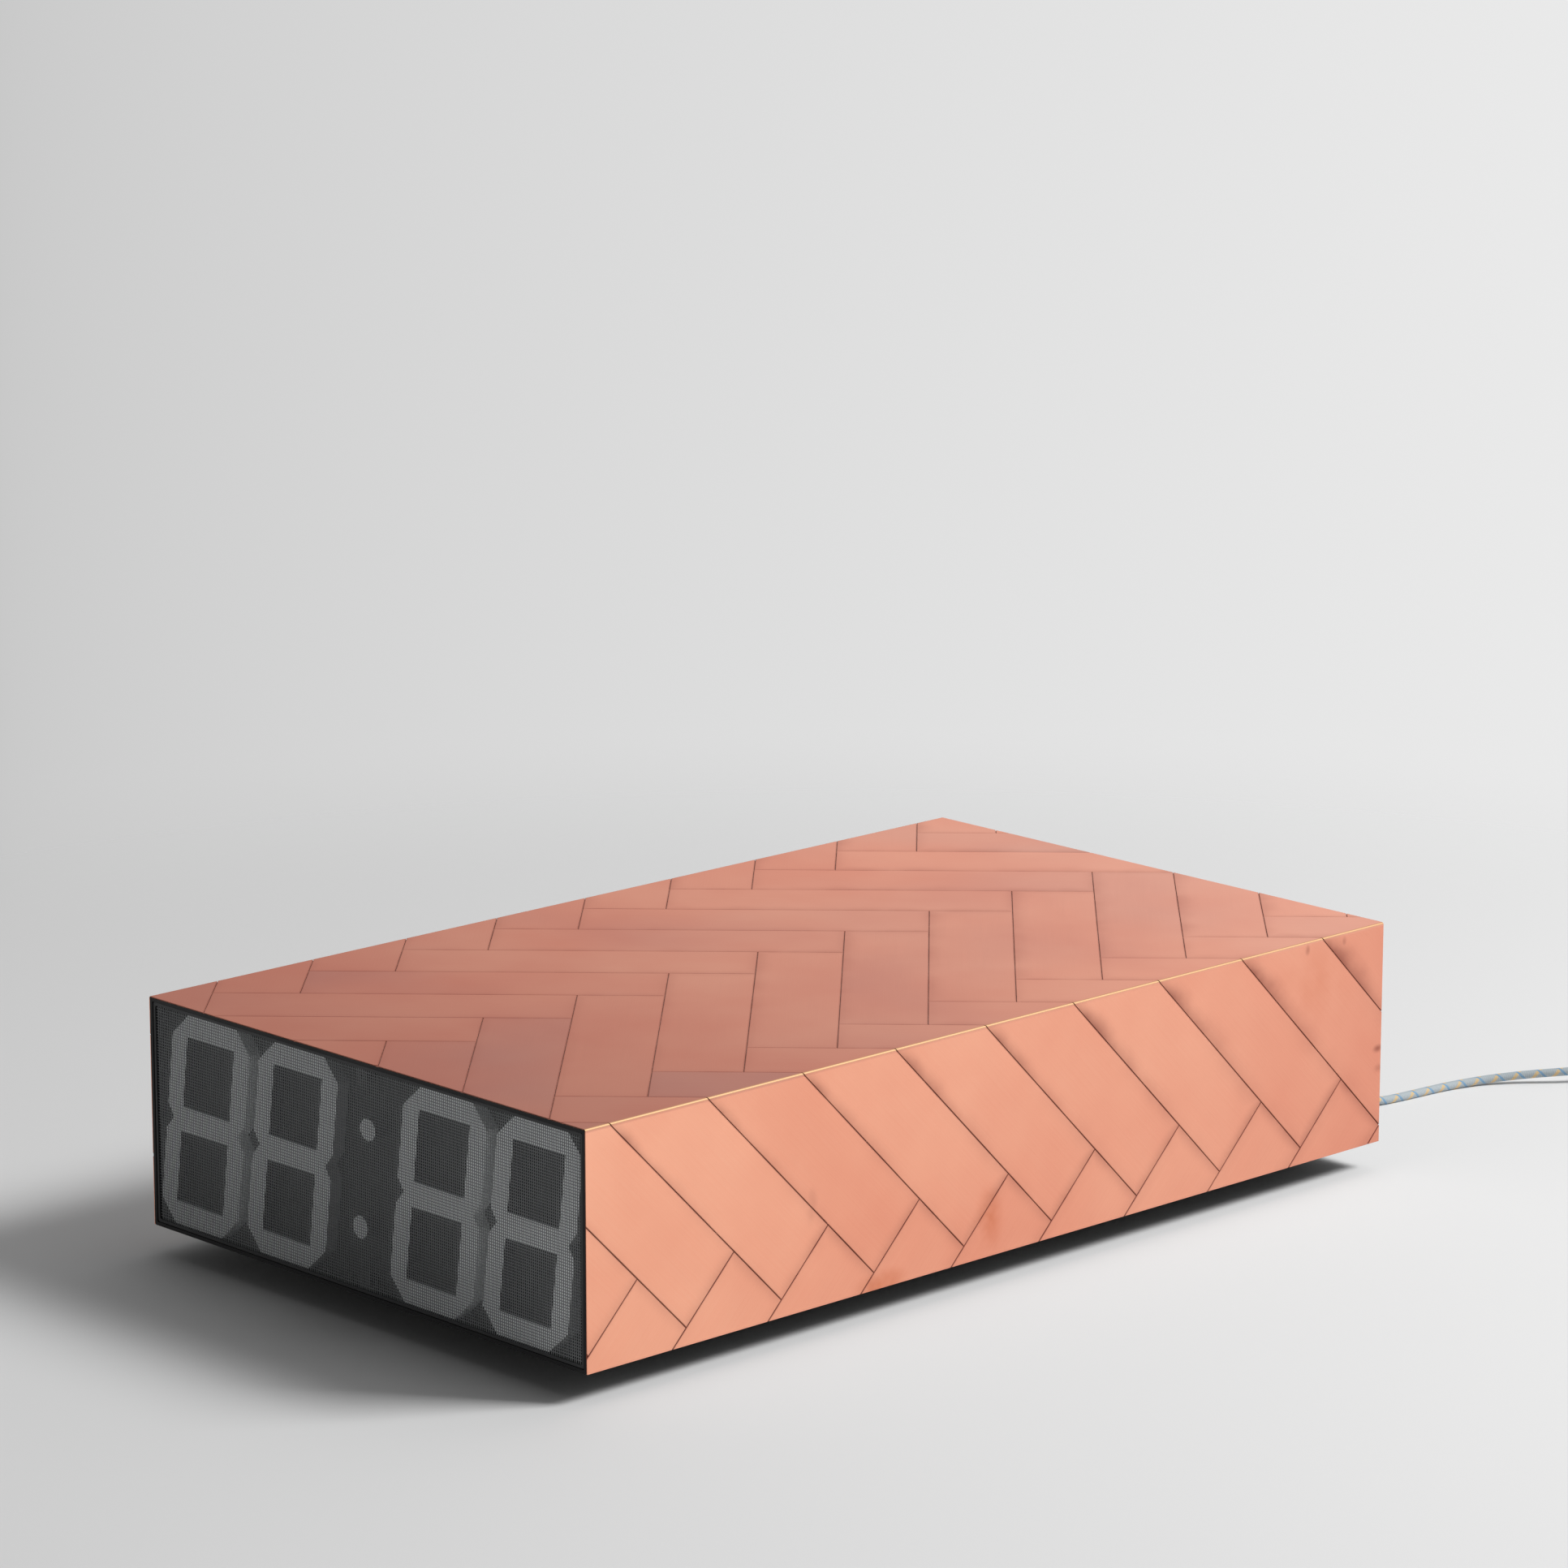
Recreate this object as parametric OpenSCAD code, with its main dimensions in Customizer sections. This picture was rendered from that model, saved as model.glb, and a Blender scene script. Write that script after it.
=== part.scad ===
// Floor clock: a long low box clad in folded copper strips, with seven-segment digits behind a mesh front.
// Millimetres. Origin on the floor under the middle of the body, +Z up, the display faces -Y.

/* [Body] */
// Overall width, across the copper
body_w = 448; // [420:1:500]
// Overall length
body_l = 765; // [650:1:900]
// Height of the clad body
body_h = 163; // [155:1:190]
// Clear height between the floor and the body
floor_gap = 20; // [14:1:40]
// Sheet thickness of the welded sleeve
sleeve_t = 2.5; // [1.5:0.1:3.5]

/* [Copper cladding] */
// Width of one copper strip
strip_w = 60; // [45:1:75]
// Length of one copper strip
strip_l = 250; // [220:1:280]
// Thickness of the copper
copper_t = 0.8; // [0.5:0.1:1.2]
// Open joint between neighbouring strips
seam = 0.5; // [0.3:0.1:1.5]
// Outer radius of the fold over the long top edges
fold_r = 1.8; // [1.5:0.1:3]
// Room left in the fold between the copper and the sleeve's own corner
fold_clear = 0.5; // [0.3:0.1:1]
// Sideways place of the middle zigzag, from the centre line of the top
pattern_x = -2.4; // [-10:0.1:10]
// Lengthways place of the pattern, from the front edge
pattern_y = 43.5; // [0:0.5:80]

/* [Grille] */
// How far the grille lies behind the front edge of the sleeve
grille_setback = 0.6; // [0.2:0.1:2]
// Gap between the grille's rim and the sleeve
rim_clear = 0.4; // [0.2:0.1:1]
// Width of the plain rim seen from the front
rim_face = 2; // [1.5:0.1:4]
// Sheet thickness of the rim
rim_t = 0.8; // [0.5:0.1:1.2]
// Depth of the rim's folded lip
rim_depth = 6; // [4:0.5:9]
// Corner radius of the rim
rim_corner_r = 1.8; // [1:0.1:4]
// Spacing of the mesh bars
mesh_pitch = 2; // [1.8:0.1:5]
// Width of a mesh bar
mesh_bar_w = 0.5; // [0.4:0.1:1]
// Thickness of one layer of mesh bars
mesh_bar_t = 0.4; // [0.3:0.1:0.7]
// Width of the two tabs that hold the grille from behind
tab_w = 10; // [8:1:16]
// Reach of those tabs from the rim
tab_reach = 14; // [12:1:18]

/* [Display] */
// Depth of a segment block
seg_depth = 10; // [8:0.5:14]
// Stroke width of the digits
stroke = 17; // [14:0.5:19]
// Height of the middle bar
mid_bar = 18; // [14:0.5:20]
// Cut across the outer corners of a digit
corner_cut = 16.6; // [12:0.2:19]
// Depth of the notch at half height
notch = 7; // [4:0.5:9]
// Lean of the digits, sideways per unit of height
lean = 0.133; // [0:0.001:0.15]
// Gap between neighbouring segments
seg_gap = 0.4; // [0.2:0.1:2]
// Wall of a hollow segment block
seg_wall = 2.4; // [1.5:0.1:4]
// Space between the two digits of a pair
digit_gap = 9.3; // [6:0.1:14]
// Space for the colon between the pairs
colon_space = 66.4; // [50:0.1:76]
// Distance of the digits from the rim
digit_margin = 1; // [0.8:0.1:4]
// Diameter of a colon dot
dot_d = 15.7; // [10:0.1:18]
// Distance of the colon dots from mid height
dot_z = 34.5; // [25:0.5:42]
// Thickness of the circuit boards
board_t = 1.6; // [1:0.1:2.4]
// Leg width of the angle posts behind the LED board
post_w = 20; // [16:1:30]
// Sheet thickness of the angle posts
post_t = 2; // [1.5:0.1:3]

/* [Electronics] */
// Width of the power supply case
supply_w = 98; // [80:1:110]
// Length of the power supply case
supply_l = 129; // [100:1:150]
// Height of the power supply case
supply_h = 30; // [28:1:45]
// Width of the controller board
control_w = 100; // [90:1:120]
// Length of the controller board
control_l = 80; // [70:1:100]
// Height of the standoffs under the controller board
standoff_h = 8; // [6:0.5:12]
// Diameter of the backup cell
cell_d = 20; // [16:0.5:24]
// Thickness of the backup cell
cell_t = 3.2; // [1.6:0.1:4]
// Width of the ribbon cable
ribbon_w = 25; // [16:1:28]

/* [Rear panel] */
// How far the rear panel lies inside the sleeve
rear_recess = 8; // [6:0.5:14]
// Sheet thickness of the rear panel
panel_t = 2.5; // [1.5:0.1:3]
// Gap round the rear panel
panel_clear = 0.3; // [0.2:0.1:0.8]
// Sideways place of the hour button
hour_x = -130; // [-145:1:-125]
// Sideways place of the minute button
minute_x = -100; // [-105:1:-85]
// Diameter of a button
button_d = 8; // [6:0.5:9]
// Travel of a button
button_travel = 1.5; // [1:0.1:2.5]
// How far a button stands proud of its bush
button_proud = 3; // [2.8:0.1:3.5]

/* [Plinth] */
// How far the plinth lies inside the body's outline
plinth_recess = 70; // [50:1:90]
// Thickness of a plinth rail
rail_w = 18; // [14:1:24]
// Thickness of a floor glide
glide_t = 3; // [2:0.5:6]
// Diameter of a floor glide
glide_d = 16; // [10:1:18]

/* [Power cord] */
// Diameter of the cord
cord_d = 6.2; // [5:0.1:7.5]
// Sideways place where the cord leaves the rear panel
cord_x = 100; // [80:1:120]
// Height of the cord's outlet above the floor of the sleeve
cord_rise = 21.5; // [18:0.5:26]
// Length of the tapered strain relief outside the panel
relief_l = 30; // [22:0.5:45]

/* [Hidden] */
$fn = 48;
cut_past = 1;                                   // how far a cutter runs past what it cuts

// Body
half_w = body_w / 2;
front_y = -body_l / 2;
rear_y = body_l / 2;
under_z = floor_gap;
top_z = floor_gap + body_h;
in_x = half_w - copper_t - sleeve_t;            // inner half width of the sleeve
in_low = under_z + sleeve_t;
in_high = top_z - copper_t - sleeve_t;
in_h = in_high - in_low;
mid_z = (in_low + in_high) / 2;

// Herringbone: steps along 45 degrees, worked out on the unfolded skin.
// u runs across from the centre line of the top, v runs back from the front edge.
across = strip_w / sqrt(2);
along = strip_l / sqrt(2);
repeat = strip_w * sqrt(2);
offcut_area = 4;                                // smaller clippings are thrown away
bend_past = 0.1;
// Joints run straight across this much of each flat beside the sharp corner
bend = fold_r - (fold_r - copper_t) / sqrt(2) + bend_past;
skin_edge = half_w - bend;                      // u where the skin turns down

// Fasteners: shaft diameter, head diameter, head height
m3 = [3, 5.6, 1.9];
m4 = [4, 8, 2.6];
screw_clear = 0.1;                              // radial room round a screw shaft
thread_clear = 0.1;                             // radial room round a threaded barrel
screw_short = 0.3;                              // how far a screw stops short of a surface

// Grille and display, from front to back
rim_x = in_x - rim_clear;
rim_z = in_h / 2 - rim_clear;
rim_y = front_y + grille_setback;
mesh_clear = 0.1;
layer_clear = 0.05;
mesh_x = rim_x - rim_t - mesh_clear;
mesh_z = rim_z - rim_t - mesh_clear;
lip_r = rim_corner_r - rim_t / 2;               // inner corner radius of the rim's lip
mesh_y = rim_y + rim_t;
mesh_back = mesh_y + 2 * mesh_bar_t + layer_clear;
tab_t = 1;
tab_hole_z = mid_z + rim_z - tab_reach / 2 - rim_t;
seg_clear = 0.6;                                // gap between the mesh and the digits
seg_y = mesh_back + seg_clear;
board_y = seg_y + seg_depth;
post_y = board_y + board_t;
board_clear = 0.5;
board_x = in_x - board_clear;
board_z = in_h / 2 - board_clear;
board_screw_inset = 4.2;
pillar_d = 7;

// Digits fill the space inside the rim's lip
digit_h = 2 * (rim_z - rim_t - digit_margin);
digit_reach = rim_x - rim_t - digit_margin - lean * (digit_h / 2 - corner_cut);
digit_w = (digit_reach - digit_gap - colon_space / 2) / 2;
digit_outer = digit_reach - digit_w / 2;
digit_inner = digit_outer - digit_w - digit_gap;
seg_face = 3;                                   // thickness of a segment's front
pocket_depth = seg_depth - seg_face;
notch_rise = 2;
led_size = [5, 1.6, 5];

// Rear panel, buttons and cord outlet, from back to front
panel_out = rear_y - rear_recess;
panel_in = panel_out - panel_t;
button_z = mid_z;
bush_wall = 2;
bush_rim = 2;                                   // how far the flange stands out round the bush
bush_flange = [button_d + 2 * (bush_wall + bush_rim), 2];  // diameter, thickness
bush_face = panel_out + bush_flange[1];
bush_d = button_d + 2 * bush_wall;
bush_l = 12;                                    // length inside the panel
bush_lip = 3;                                   // thickness of the lip that stops the button
button_fit = 0.05;                              // radial running clearance of a button
shoulder_w = 0.8;                               // width of the button's stop shoulder
shoulder_t = 2;
switch_size = [15, 12, 15];
switch_y = panel_in - bush_l - switch_size.y;
nut_wall = 1.5;
button_nut = [bush_d + 2 * nut_wall, 3];        // across flats, thickness
tail_d = 5;
tail_clear = 0.3;
tail_in = 2;                                    // how far a button's tail reaches into its switch
tail_spare = 2;                                 // room left beyond the tail when the button is in
lug_size = [24, 20, 18];
lug_t = 2.5;
lug_inset = 14;
relief_wall = 1.4;
relief_d = [20, 13, cord_d + 2 * relief_wall];  // flange, root and tip diameters
relief_flange = 3;
barrel_d = 12;
barrel_l = 10;
relief_nut_size = [17, 5];
relief_tip = panel_out + relief_l;
rib_step = 5;                                   // spacing of the ribs round the taper
rib_w = 2;
rib_h = 0.8;

// Electronics stand on the floor of the sleeve
control_x = (hour_x + minute_x) / 2;
control_top = in_low + standoff_h + board_t;
wire_d = 3;
wire_bend = 22;
header_size = [11, 6, 8.5];
header_y = switch_y - wire_bend;
header_inset = 8;                               // from the header to the rear edge of the board
control_rear = header_y + header_inset;
control_front = control_rear - control_l;
control_mid = (control_front + control_rear) / 2;
control_inset = 5;
standoff_d = 6;
standoff_floor = 1;
main_chip = [12, 12, 1.6];
small_chip = [10, 7, 1.6];
chip_x = 8;
chip_spread = [22, 20];                         // from the main chip to the small ones
capacitor = [10, 13];                           // diameter, height
capacitor_at = [18, 2];                         // from the right edge, behind the middle
cell_room = 0.2;
cell_seat = 1;
cell_wall = 2;
cell_step = [1.5, 0.4];                         // width and height of the step round the cell's cap
socket_wall = 2.5;
socket_size = [ribbon_w + 2 * socket_wall, 9, 9];
socket_inset = 1;
socket_x = 20;                                  // from the middle of the controller board
socket_y = control_front + socket_inset + socket_size.y / 2;
socket_z = control_top + socket_size.z / 2;
ribbon_t = 1;
ribbon_lead = 8;
ribbon_rise = 36;                               // lengthways run of the ribbon's slopes
led_socket_rise = 25;
led_socket_z = in_low + led_socket_rise;
dc_size = [8, 16, 10];
supply_back = 62;                               // from the rear of the board to the rear of the supply
supply_rear = control_rear - supply_back;
supply_x = cord_x;
supply_ear = 10;
ear_t = 2;
vent = 3;                                       // width of a slot in the supply's case
terminal_size = [70, 14, 22];
terminal_low = 8;
terminal_way = 10;
terminal_bore = [6, 4];                         // diameter, depth
terminal_y = supply_rear + terminal_size.y;
supply_wire_d = 2.4;
supply_wire_gap = 6;
supply_wire_bend = 12;
supply_wire_out = 2;
supply_wire_inset = 20;
supply_wire_x = supply_x - supply_wire_inset;
supply_wire_z = control_top + dc_size.z / 2;

// Plinth
rail_h = floor_gap - glide_t;
plinth_x = half_w - plinth_recess;
plinth_y = body_l / 2 - plinth_recess;
rail_screw_x = 25;
rail_screw_inset = 202.5;                       // of the side rails' screws, from the plinth's ends
rail_floor = 7;                                 // wood left under a rail's screw
rail_screw_l = rail_h - rail_floor;
rail_hole_past = 1;
glide_inset = 24;

// Cord: it falls from the outlet, lies on the floor and climbs to a flat coil of two layers
cord_sides = 10;
cord_z = in_low + cord_rise;
floor_rest = cord_d / 2;
// Sideways and back from the tip of the strain relief, with the share of the outlet's height that is left
cord_fall = [
    [0, 0, 1], [0.5, 13.5, 0.976], [2, 26.5, 0.878], [4, 39.5, 0.719], [6.5, 52.5, 0.535],
    [9, 65.5, 0.352], [12, 78.5, 0.181], [15, 91.5, 0.059], [18, 104.5, 0.007], [20, 117.5, 0]
];
// Sideways and back from the tip of the strain relief, with the height above a cord that lies on the floor
cord_lying = [
    [21.5, 130.5, 0], [23, 145.5, 0], [24.5, 160.5, 0], [27, 175.5, 0.1], [31, 189.5, 0.5],
    [37, 203.5, 1.3], [46, 217.5, 2.5], [57, 231.5, 3.9], [68, 243.5, 5.1], [78, 255.5, 6.1],
    [87, 269.5, 6.9], [96, 284, 7.7]
];
coil_sides = 6;
coil_rings = 24;
coil_offset = [152, 287.5];                     // sideways and back from the tip of the strain relief
coil_centre = [cord_x, relief_tip] + coil_offset;
coil_in_r = 25.5;
coil_room = [0.6, 0.7];                         // between turns side by side, and between layers
coil_pitch = cord_d + coil_room[0];
coil_layer = cord_d + coil_room[1];
coil_start = 150;                               // angle where the cord joins the coil
coil_turns = 6 + 1 / 6;
tie_t = 1;
tie_w = 8;
tie_angle = -45;
tie_room = [0.5, 0.2];                          // beside the turns, and above and below them
tie_inner_room = 0.9;
tie_r = [1.5, 2.5];                             // inner and outer corner radius
coil_low = tie_t + tie_room[1] + floor_rest;
coil_high = coil_low + coil_layer;
coil_out_r = coil_in_r + coil_pitch * coil_turns / 2;
coil_end = coil_start - 360 * coil_turns;
coil_in_dir = [sin(coil_start), -cos(coil_start), 0];
coil_out_dir = [sin(coil_end), -cos(coil_end), 0];
coil_in_point = coil_at(0) - cord_d * coil_in_dir;
coil_out_point = coil_at(coil_turns) + cord_d * coil_out_dir;
cord_route = concat(
    [for (p = cord_fall) [cord_x + p.x, relief_tip + p.y, floor_rest + p.z * (cord_z - floor_rest)]],
    [for (p = cord_lying) [cord_x + p.x, relief_tip + p.y, floor_rest + p.z]],
    [coil_in_point]
);
coil_points = concat(
    [coil_in_point],
    [for (i = [0:coil_turns * coil_rings]) coil_at(i / coil_rings)],
    [coil_out_point]
);
plug_size = [36, 35, 13.7];                     // length, width, thickness
plug_edge = [3, 1.5];                           // corner cuts seen from above and from the side
plug_neck_l = 14;
plug_neck_wall = 1.1;
plug_neck_d = [cord_d + 2 * plug_neck_wall, 10.5];
plug_neck_in = 2;                               // how far the neck runs into the body
plug_lead = 25;
plug_start = coil_out_point + plug_lead * coil_out_dir + [0, 0, plug_size.z / 2 - coil_low];
plug_base = plug_neck_l - plug_neck_in;
pin_d = 4;
pin_l = 19;
pin_in = 6;                                     // length of a pin inside the plug
pin_tip = [0.8, 1];                             // width and length of the taper
pin_clear = 0.05;
pin_spacing = 18.6;
// Out from the coil and up, to the middle of the plug's neck
tail_run = [[0, 0], [6, 0.1], [12, 0.9], [18, 2]];
tail_flat = 1.5;
tail_route = concat(
    [for (p = tail_run) coil_out_point + p.x * coil_out_dir + [0, 0, p.y]],
    [plug_start - tail_flat * coil_out_dir, plug_start]
);

// Colours
COPPER = "#d49078";
BLACK = "#16171a";
STEEL = "#b4b6b8";
MESH_GREY = "#5a5d5f";
OPAL = "#8c8e8f";
BOARD_GREEN = "#1f5a3a";

// Polygons

// Keeps the part of a convex outline where the dot product with a direction is at most a limit
function keep(outline, dir, limit) = [
    for (i = [0:len(outline) - 1])
        let (
            p = outline[i],
            q = outline[(i + 1) % len(outline)],
            a = p * dir - limit,
            b = q * dir - limit
        )
            each concat(a <= 0 ? [p] : [], a * b < 0 ? [p + (q - p) * a / (a - b)] : [])
];

function outline_area(outline) = len(outline) < 3 ? 0 : abs(sum([
    for (i = [0:len(outline) - 1]) cross(outline[i], outline[(i + 1) % len(outline)])
])) / 2;

function sum(list, i = 0) = i < len(list) ? list[i] + sum(list, i + 1) : 0;

function unit(v) = v / norm(v);

// Moves every edge of a counter-clockwise convex outline inwards
function inset(outline, by) = [
    for (i = [0:len(outline) - 1])
        let (
            n = len(outline),
            p = outline[i],
            before = unit(p - outline[(i + n - 1) % n]),
            after = unit(outline[(i + 1) % n] - p)
        )
            p + by * (after - before) / cross(before, after)
];

// A thin band on a line of points, as a closed outline
function band(line, t) = concat(
    [for (i = [0:len(line) - 1]) line[i] + t / 2 * band_side(line, i)],
    [for (i = [len(line) - 1:-1:0]) line[i] - t / 2 * band_side(line, i)]
);

function band_side(line, i) =
    let (
        a = unit(line[max(i, 1)] - line[max(i, 1) - 1]),
        b = unit(line[min(i + 1, len(line) - 1)] - line[min(i + 1, len(line) - 1) - 1]),
        n = unit([-a.y - b.y, a.x + b.x])
    )
        n / (n * [-a.y, a.x]);

// Tubes swept along points

function tangent(points, i) =
    unit(points[min(i + 1, len(points) - 1)] - points[max(i - 1, 0)]);

module tube(points, d, sides, ref = [0, 0, 1]) {
    rings = len(points);
    skin = [
        for (i = [0:rings - 1])
            let (t = tangent(points, i), side = unit(cross(t, ref)), up = cross(side, t))
                for (j = [0:sides - 1])
                    points[i] + d / 2 * (cos(360 * j / sides) * side + sin(360 * j / sides) * up)
    ];
    faces = concat(
        [[for (j = [sides - 1:-1:0]) j]],
        [
            for (i = [0:rings - 2])
                for (j = [0:sides - 1])
                    let (a = i * sides + j, b = i * sides + (j + 1) % sides)
                        each [[a, b, b + sides], [a, b + sides, a + sides]]
        ],
        [[for (j = [0:sides - 1]) (rings - 1) * sides + j]]
    );
    polyhedron(skin, faces);
}

// Shapes that repeat

module rounded_rect(size, r) {
    square([size.x - 2 * r, size.y], center = true);
    square([size.x, size.y - 2 * r], center = true);
    for (sx = [-1, 1], sy = [-1, 1])
        translate([sx * (size.x / 2 - r), sy * (size.y / 2 - r)]) circle(r);
}

// Draws an X-Z outline and gives it a length from y0 back to y1
module lengthways(y0, y1)
    translate([0, y1, 0]) rotate([90, 0, 0]) linear_extrude(y1 - y0) children();

// A cylinder along Y, from y0 to y1
module rod(d, y0, y1) translate([0, y1, 0]) rotate([90, 0, 0]) cylinder(d = d, h = y1 - y0);

// A pan-head screw: its head stands on z = 0 and its shaft goes down
module screw(size, length) {
    cylinder(d = size[1], h = size[2]);
    translate([0, 0, -length]) cylinder(d = size[0], h = length + size[2] / 2);
}

module hex_nut(across_flats, t, bore) {
    difference() {
        cylinder(d = across_flats / cos(30), h = t, $fn = 6);
        translate([0, 0, -cut_past]) cylinder(d = bore, h = t + 2 * cut_past);
    }
}

// Sleeve

module sleeve() {
    corner = fold_r - copper_t + fold_clear;
    outer = [body_w - 2 * copper_t, body_h - copper_t];
    color(BLACK) difference() {
        lengthways(front_y, rear_y) translate([0, under_z + outer.y / 2]) difference() {
            rounded_rect(outer, corner);
            square([2 * in_x, in_h], center = true);
        }
        for (at = plinth_screw_points())
            translate([at.x, at.y, under_z - cut_past])
                cylinder(d = m4[0] + 2 * screw_clear, h = sleeve_t + 2 * cut_past);
        for (at = supply_screw_points())
            translate([at.x, at.y, under_z - cut_past])
                cylinder(d = m3[0] + 2 * screw_clear, h = sleeve_t + 2 * cut_past);
    }
}

// Copper cladding

// One strip of a column on the unfolded skin: even columns run forward to the right, odd ones back
function strip_outline(column, k) =
    let (
        even = column % 2 == 0,
        base = [pattern_x - across / 2 + column * along, pattern_y + k * repeat - (even ? 0 : along)],
        run = even ? [1, -1] : [1, 1],
        end = even ? [1, 1] : [1, -1],
        gap = seam / 2 / sqrt(2),
        run_l = along - 2 * gap,
        end_l = across - 2 * gap,
        corner = base + gap * (run + end)
    )
        [corner, corner + run_l * run, corner + run_l * run + end_l * end, corner + end_l * end];

function clipped_strip(column, k) =
    let (edge = skin_edge + body_h - bend, a = keep(strip_outline(column, k), [0, 1], body_l))
        keep(keep(keep(a, [0, -1], 0), [1, 0], edge), [-1, 0], edge);

// Half of the folded shell's section, from the middle of the bend along one flat.
// The sharp corner lies at the origin.
module fold_half(length) {
    translate([-fold_r - length, -copper_t]) square([length, copper_t]);
    translate([-fold_r, -fold_r]) intersection() {
        difference() {
            circle(fold_r);
            circle(fold_r - copper_t);
        }
        polygon([[0, 0], [2 * fold_r, 2 * fold_r], [0, 2 * fold_r]]);
    }
}

// Outline of the part that lies on the side, as depth below the top and distance from the front
function side_outline(outline) =
    [for (p = keep(outline, [-1, 0], -skin_edge)) [p.x - skin_edge + bend, p.y]];

// Where an outline meets the line at which the skin turns down
function bend_span(outline) =
    let (v = [for (p = side_outline(outline)) if (p.x < bend + 0.001) p.y]) [min(v), max(v)];

// A strip that crosses the right-hand top edge, as one folded piece
module folded_strip(outline) {
    tall = 2 * fold_r;
    v = bend_span(outline);
    intersection() {
        lengthways(front_y, rear_y) translate([half_w, top_z]) fold_half(body_w);
        translate([0, front_y, top_z - tall]) linear_extrude(2 * tall) {
            polygon(keep(outline, [1, 0], skin_edge));
            translate([skin_edge, v[0]]) square([bend, v[1] - v[0]]);
        }
    }
    intersection() {
        lengthways(front_y, rear_y) translate([half_w, top_z]) mirror([1, -1])
            fold_half(body_h - fold_r);
        translate([half_w - tall, front_y, top_z]) rotate([0, 90, 0]) linear_extrude(2 * tall) {
            polygon(side_outline(outline));
            translate([0, v[0]]) square([bend, v[1] - v[0]]);
        }
    }
}

module flat_top_strip(outline)
    translate([0, front_y, top_z - copper_t]) linear_extrude(copper_t) polygon(outline);

module flat_side_strip(outline)
    translate([half_w - copper_t, front_y, top_z]) rotate([0, 90, 0]) linear_extrude(copper_t)
        polygon(side_outline(outline));

// A strip on the right half of the skin or across the top
module right_strip(outline) {
    u = [for (p = outline) p.x];
    if (max(u) <= skin_edge) flat_top_strip(outline);
    else if (min(u) >= skin_edge) flat_side_strip(outline);
    else folded_strip(outline);
}

module strip_column(column) {
    first = -ceil(along / repeat) - 1;
    last = ceil((body_l + along) / repeat) + 1;
    color(COPPER) for (k = [first:last]) {
        outline = clipped_strip(column, k);
        if (outline_area(outline) > offcut_area) {
            if (column < -1) mirror([1, 0, 0]) right_strip([for (p = outline) [-p.x, p.y]]);
            else right_strip(outline);
        }
    }
}

module cladding_top_left() strip_column(-1);
module cladding_top_right() strip_column(0);
module cladding_left_fold() strip_column(-2);
module cladding_right_fold() strip_column(1);
module cladding_left_skirt() strip_column(-3);
module cladding_right_skirt() strip_column(2);

// Grille

module grille_rim() {
    outer = [2 * rim_x, 2 * rim_z];
    tab_l = tab_reach + rim_t;
    color(MESH_GREY) translate([0, 0, mid_z]) difference() {
        union() {
            lengthways(rim_y, rim_y + rim_t) difference() {
                rounded_rect(outer, rim_corner_r);
                rounded_rect(outer - 2 * [rim_face, rim_face], rim_corner_r);
            }
            lengthways(rim_y, rim_y + rim_depth) difference() {
                rounded_rect(outer, rim_corner_r);
                rounded_rect(outer - 2 * [rim_t, rim_t], lip_r);
            }
            for (s = [-1, 1])
                translate([0, 0, s * (rim_z - tab_l / 2)])
                    translate([-tab_w / 2, mesh_back, -tab_l / 2]) cube([tab_w, tab_t, tab_l]);
        }
        for (s = [-1, 1])
            translate([0, 0, s * (tab_hole_z - mid_z)])
                rod(m3[0] + 2 * screw_clear, mesh_back - cut_past, mesh_back + tab_t + cut_past);
    }
}

module grille_mesh() {
    uprights = floor((mesh_x - lip_r) / mesh_pitch);
    rows = floor((mesh_z - lip_r) / mesh_pitch);
    row_y = mesh_y + mesh_bar_t + layer_clear;
    color(MESH_GREY) {
        for (i = [-uprights:uprights])
            translate([i * mesh_pitch - mesh_bar_w / 2, mesh_y, mid_z - mesh_z])
                cube([mesh_bar_w, mesh_bar_t, 2 * mesh_z]);
        for (k = [-rows:rows])
            translate([-mesh_x, row_y, mid_z + k * mesh_pitch - mesh_bar_w / 2])
                cube([2 * mesh_x, mesh_bar_t, mesh_bar_w]);
    }
}

module at_grille_tabs()
    for (s = [-1, 1]) translate([0, 0, mid_z + s * (tab_hole_z - mid_z)]) children();

module grille_pillars() {
    color(STEEL) at_grille_tabs() difference() {
        rod(pillar_d, mesh_back + tab_t, board_y);
        rod(m3[0] + 2 * screw_clear, mesh_back, board_y + cut_past);
    }
}

module grille_screws() {
    length = post_y - mesh_back - screw_short;
    color(STEEL) at_grille_tabs()
        translate([0, post_y, 0]) rotate([-90, 0, 0]) screw(m3, length);
}

// Display

// The seven segments of a figure eight, each a convex counter-clockwise outline about the digit's middle
function segment_outlines() =
    let (
        w = digit_w / 2, h = digit_h / 2, s = stroke, c = corner_cut, m = mid_bar / 2, n = notch,
        top = [
            [s - w, h - s], [w - s, h - s], [w - c / 2, h - c / 2],
            [w - c, h], [c - w, h], [c / 2 - w, h - c / 2]
        ],
        upper_left = [
            [-w, n + notch_rise], [n - w, 0], [s - w, m], [s - w, h - s],
            [c / 2 - w, h - c / 2], [-w, h - c]
        ],
        middle = [[n - w, 0], [s - w, -m], [w - s, -m], [w - n, 0], [w - s, m], [s - w, m]]
    )
        [
            top, upper_left, turned(upper_left, 1, -1), turned(upper_left, -1, 1),
            turned(upper_left, -1, -1), turned(top, 1, -1), middle
        ];

// Mirrors an outline and keeps it counter-clockwise
function turned(outline, sx, sy) =
    let (points = [for (p = outline) [sx * p.x, sy * p.y]])
        sx * sy > 0 ? points : [for (i = [len(points) - 1:-1:0]) points[i]];

function leaned(outline) = [for (p = outline) [p.x + lean * p.y, p.y]];

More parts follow.
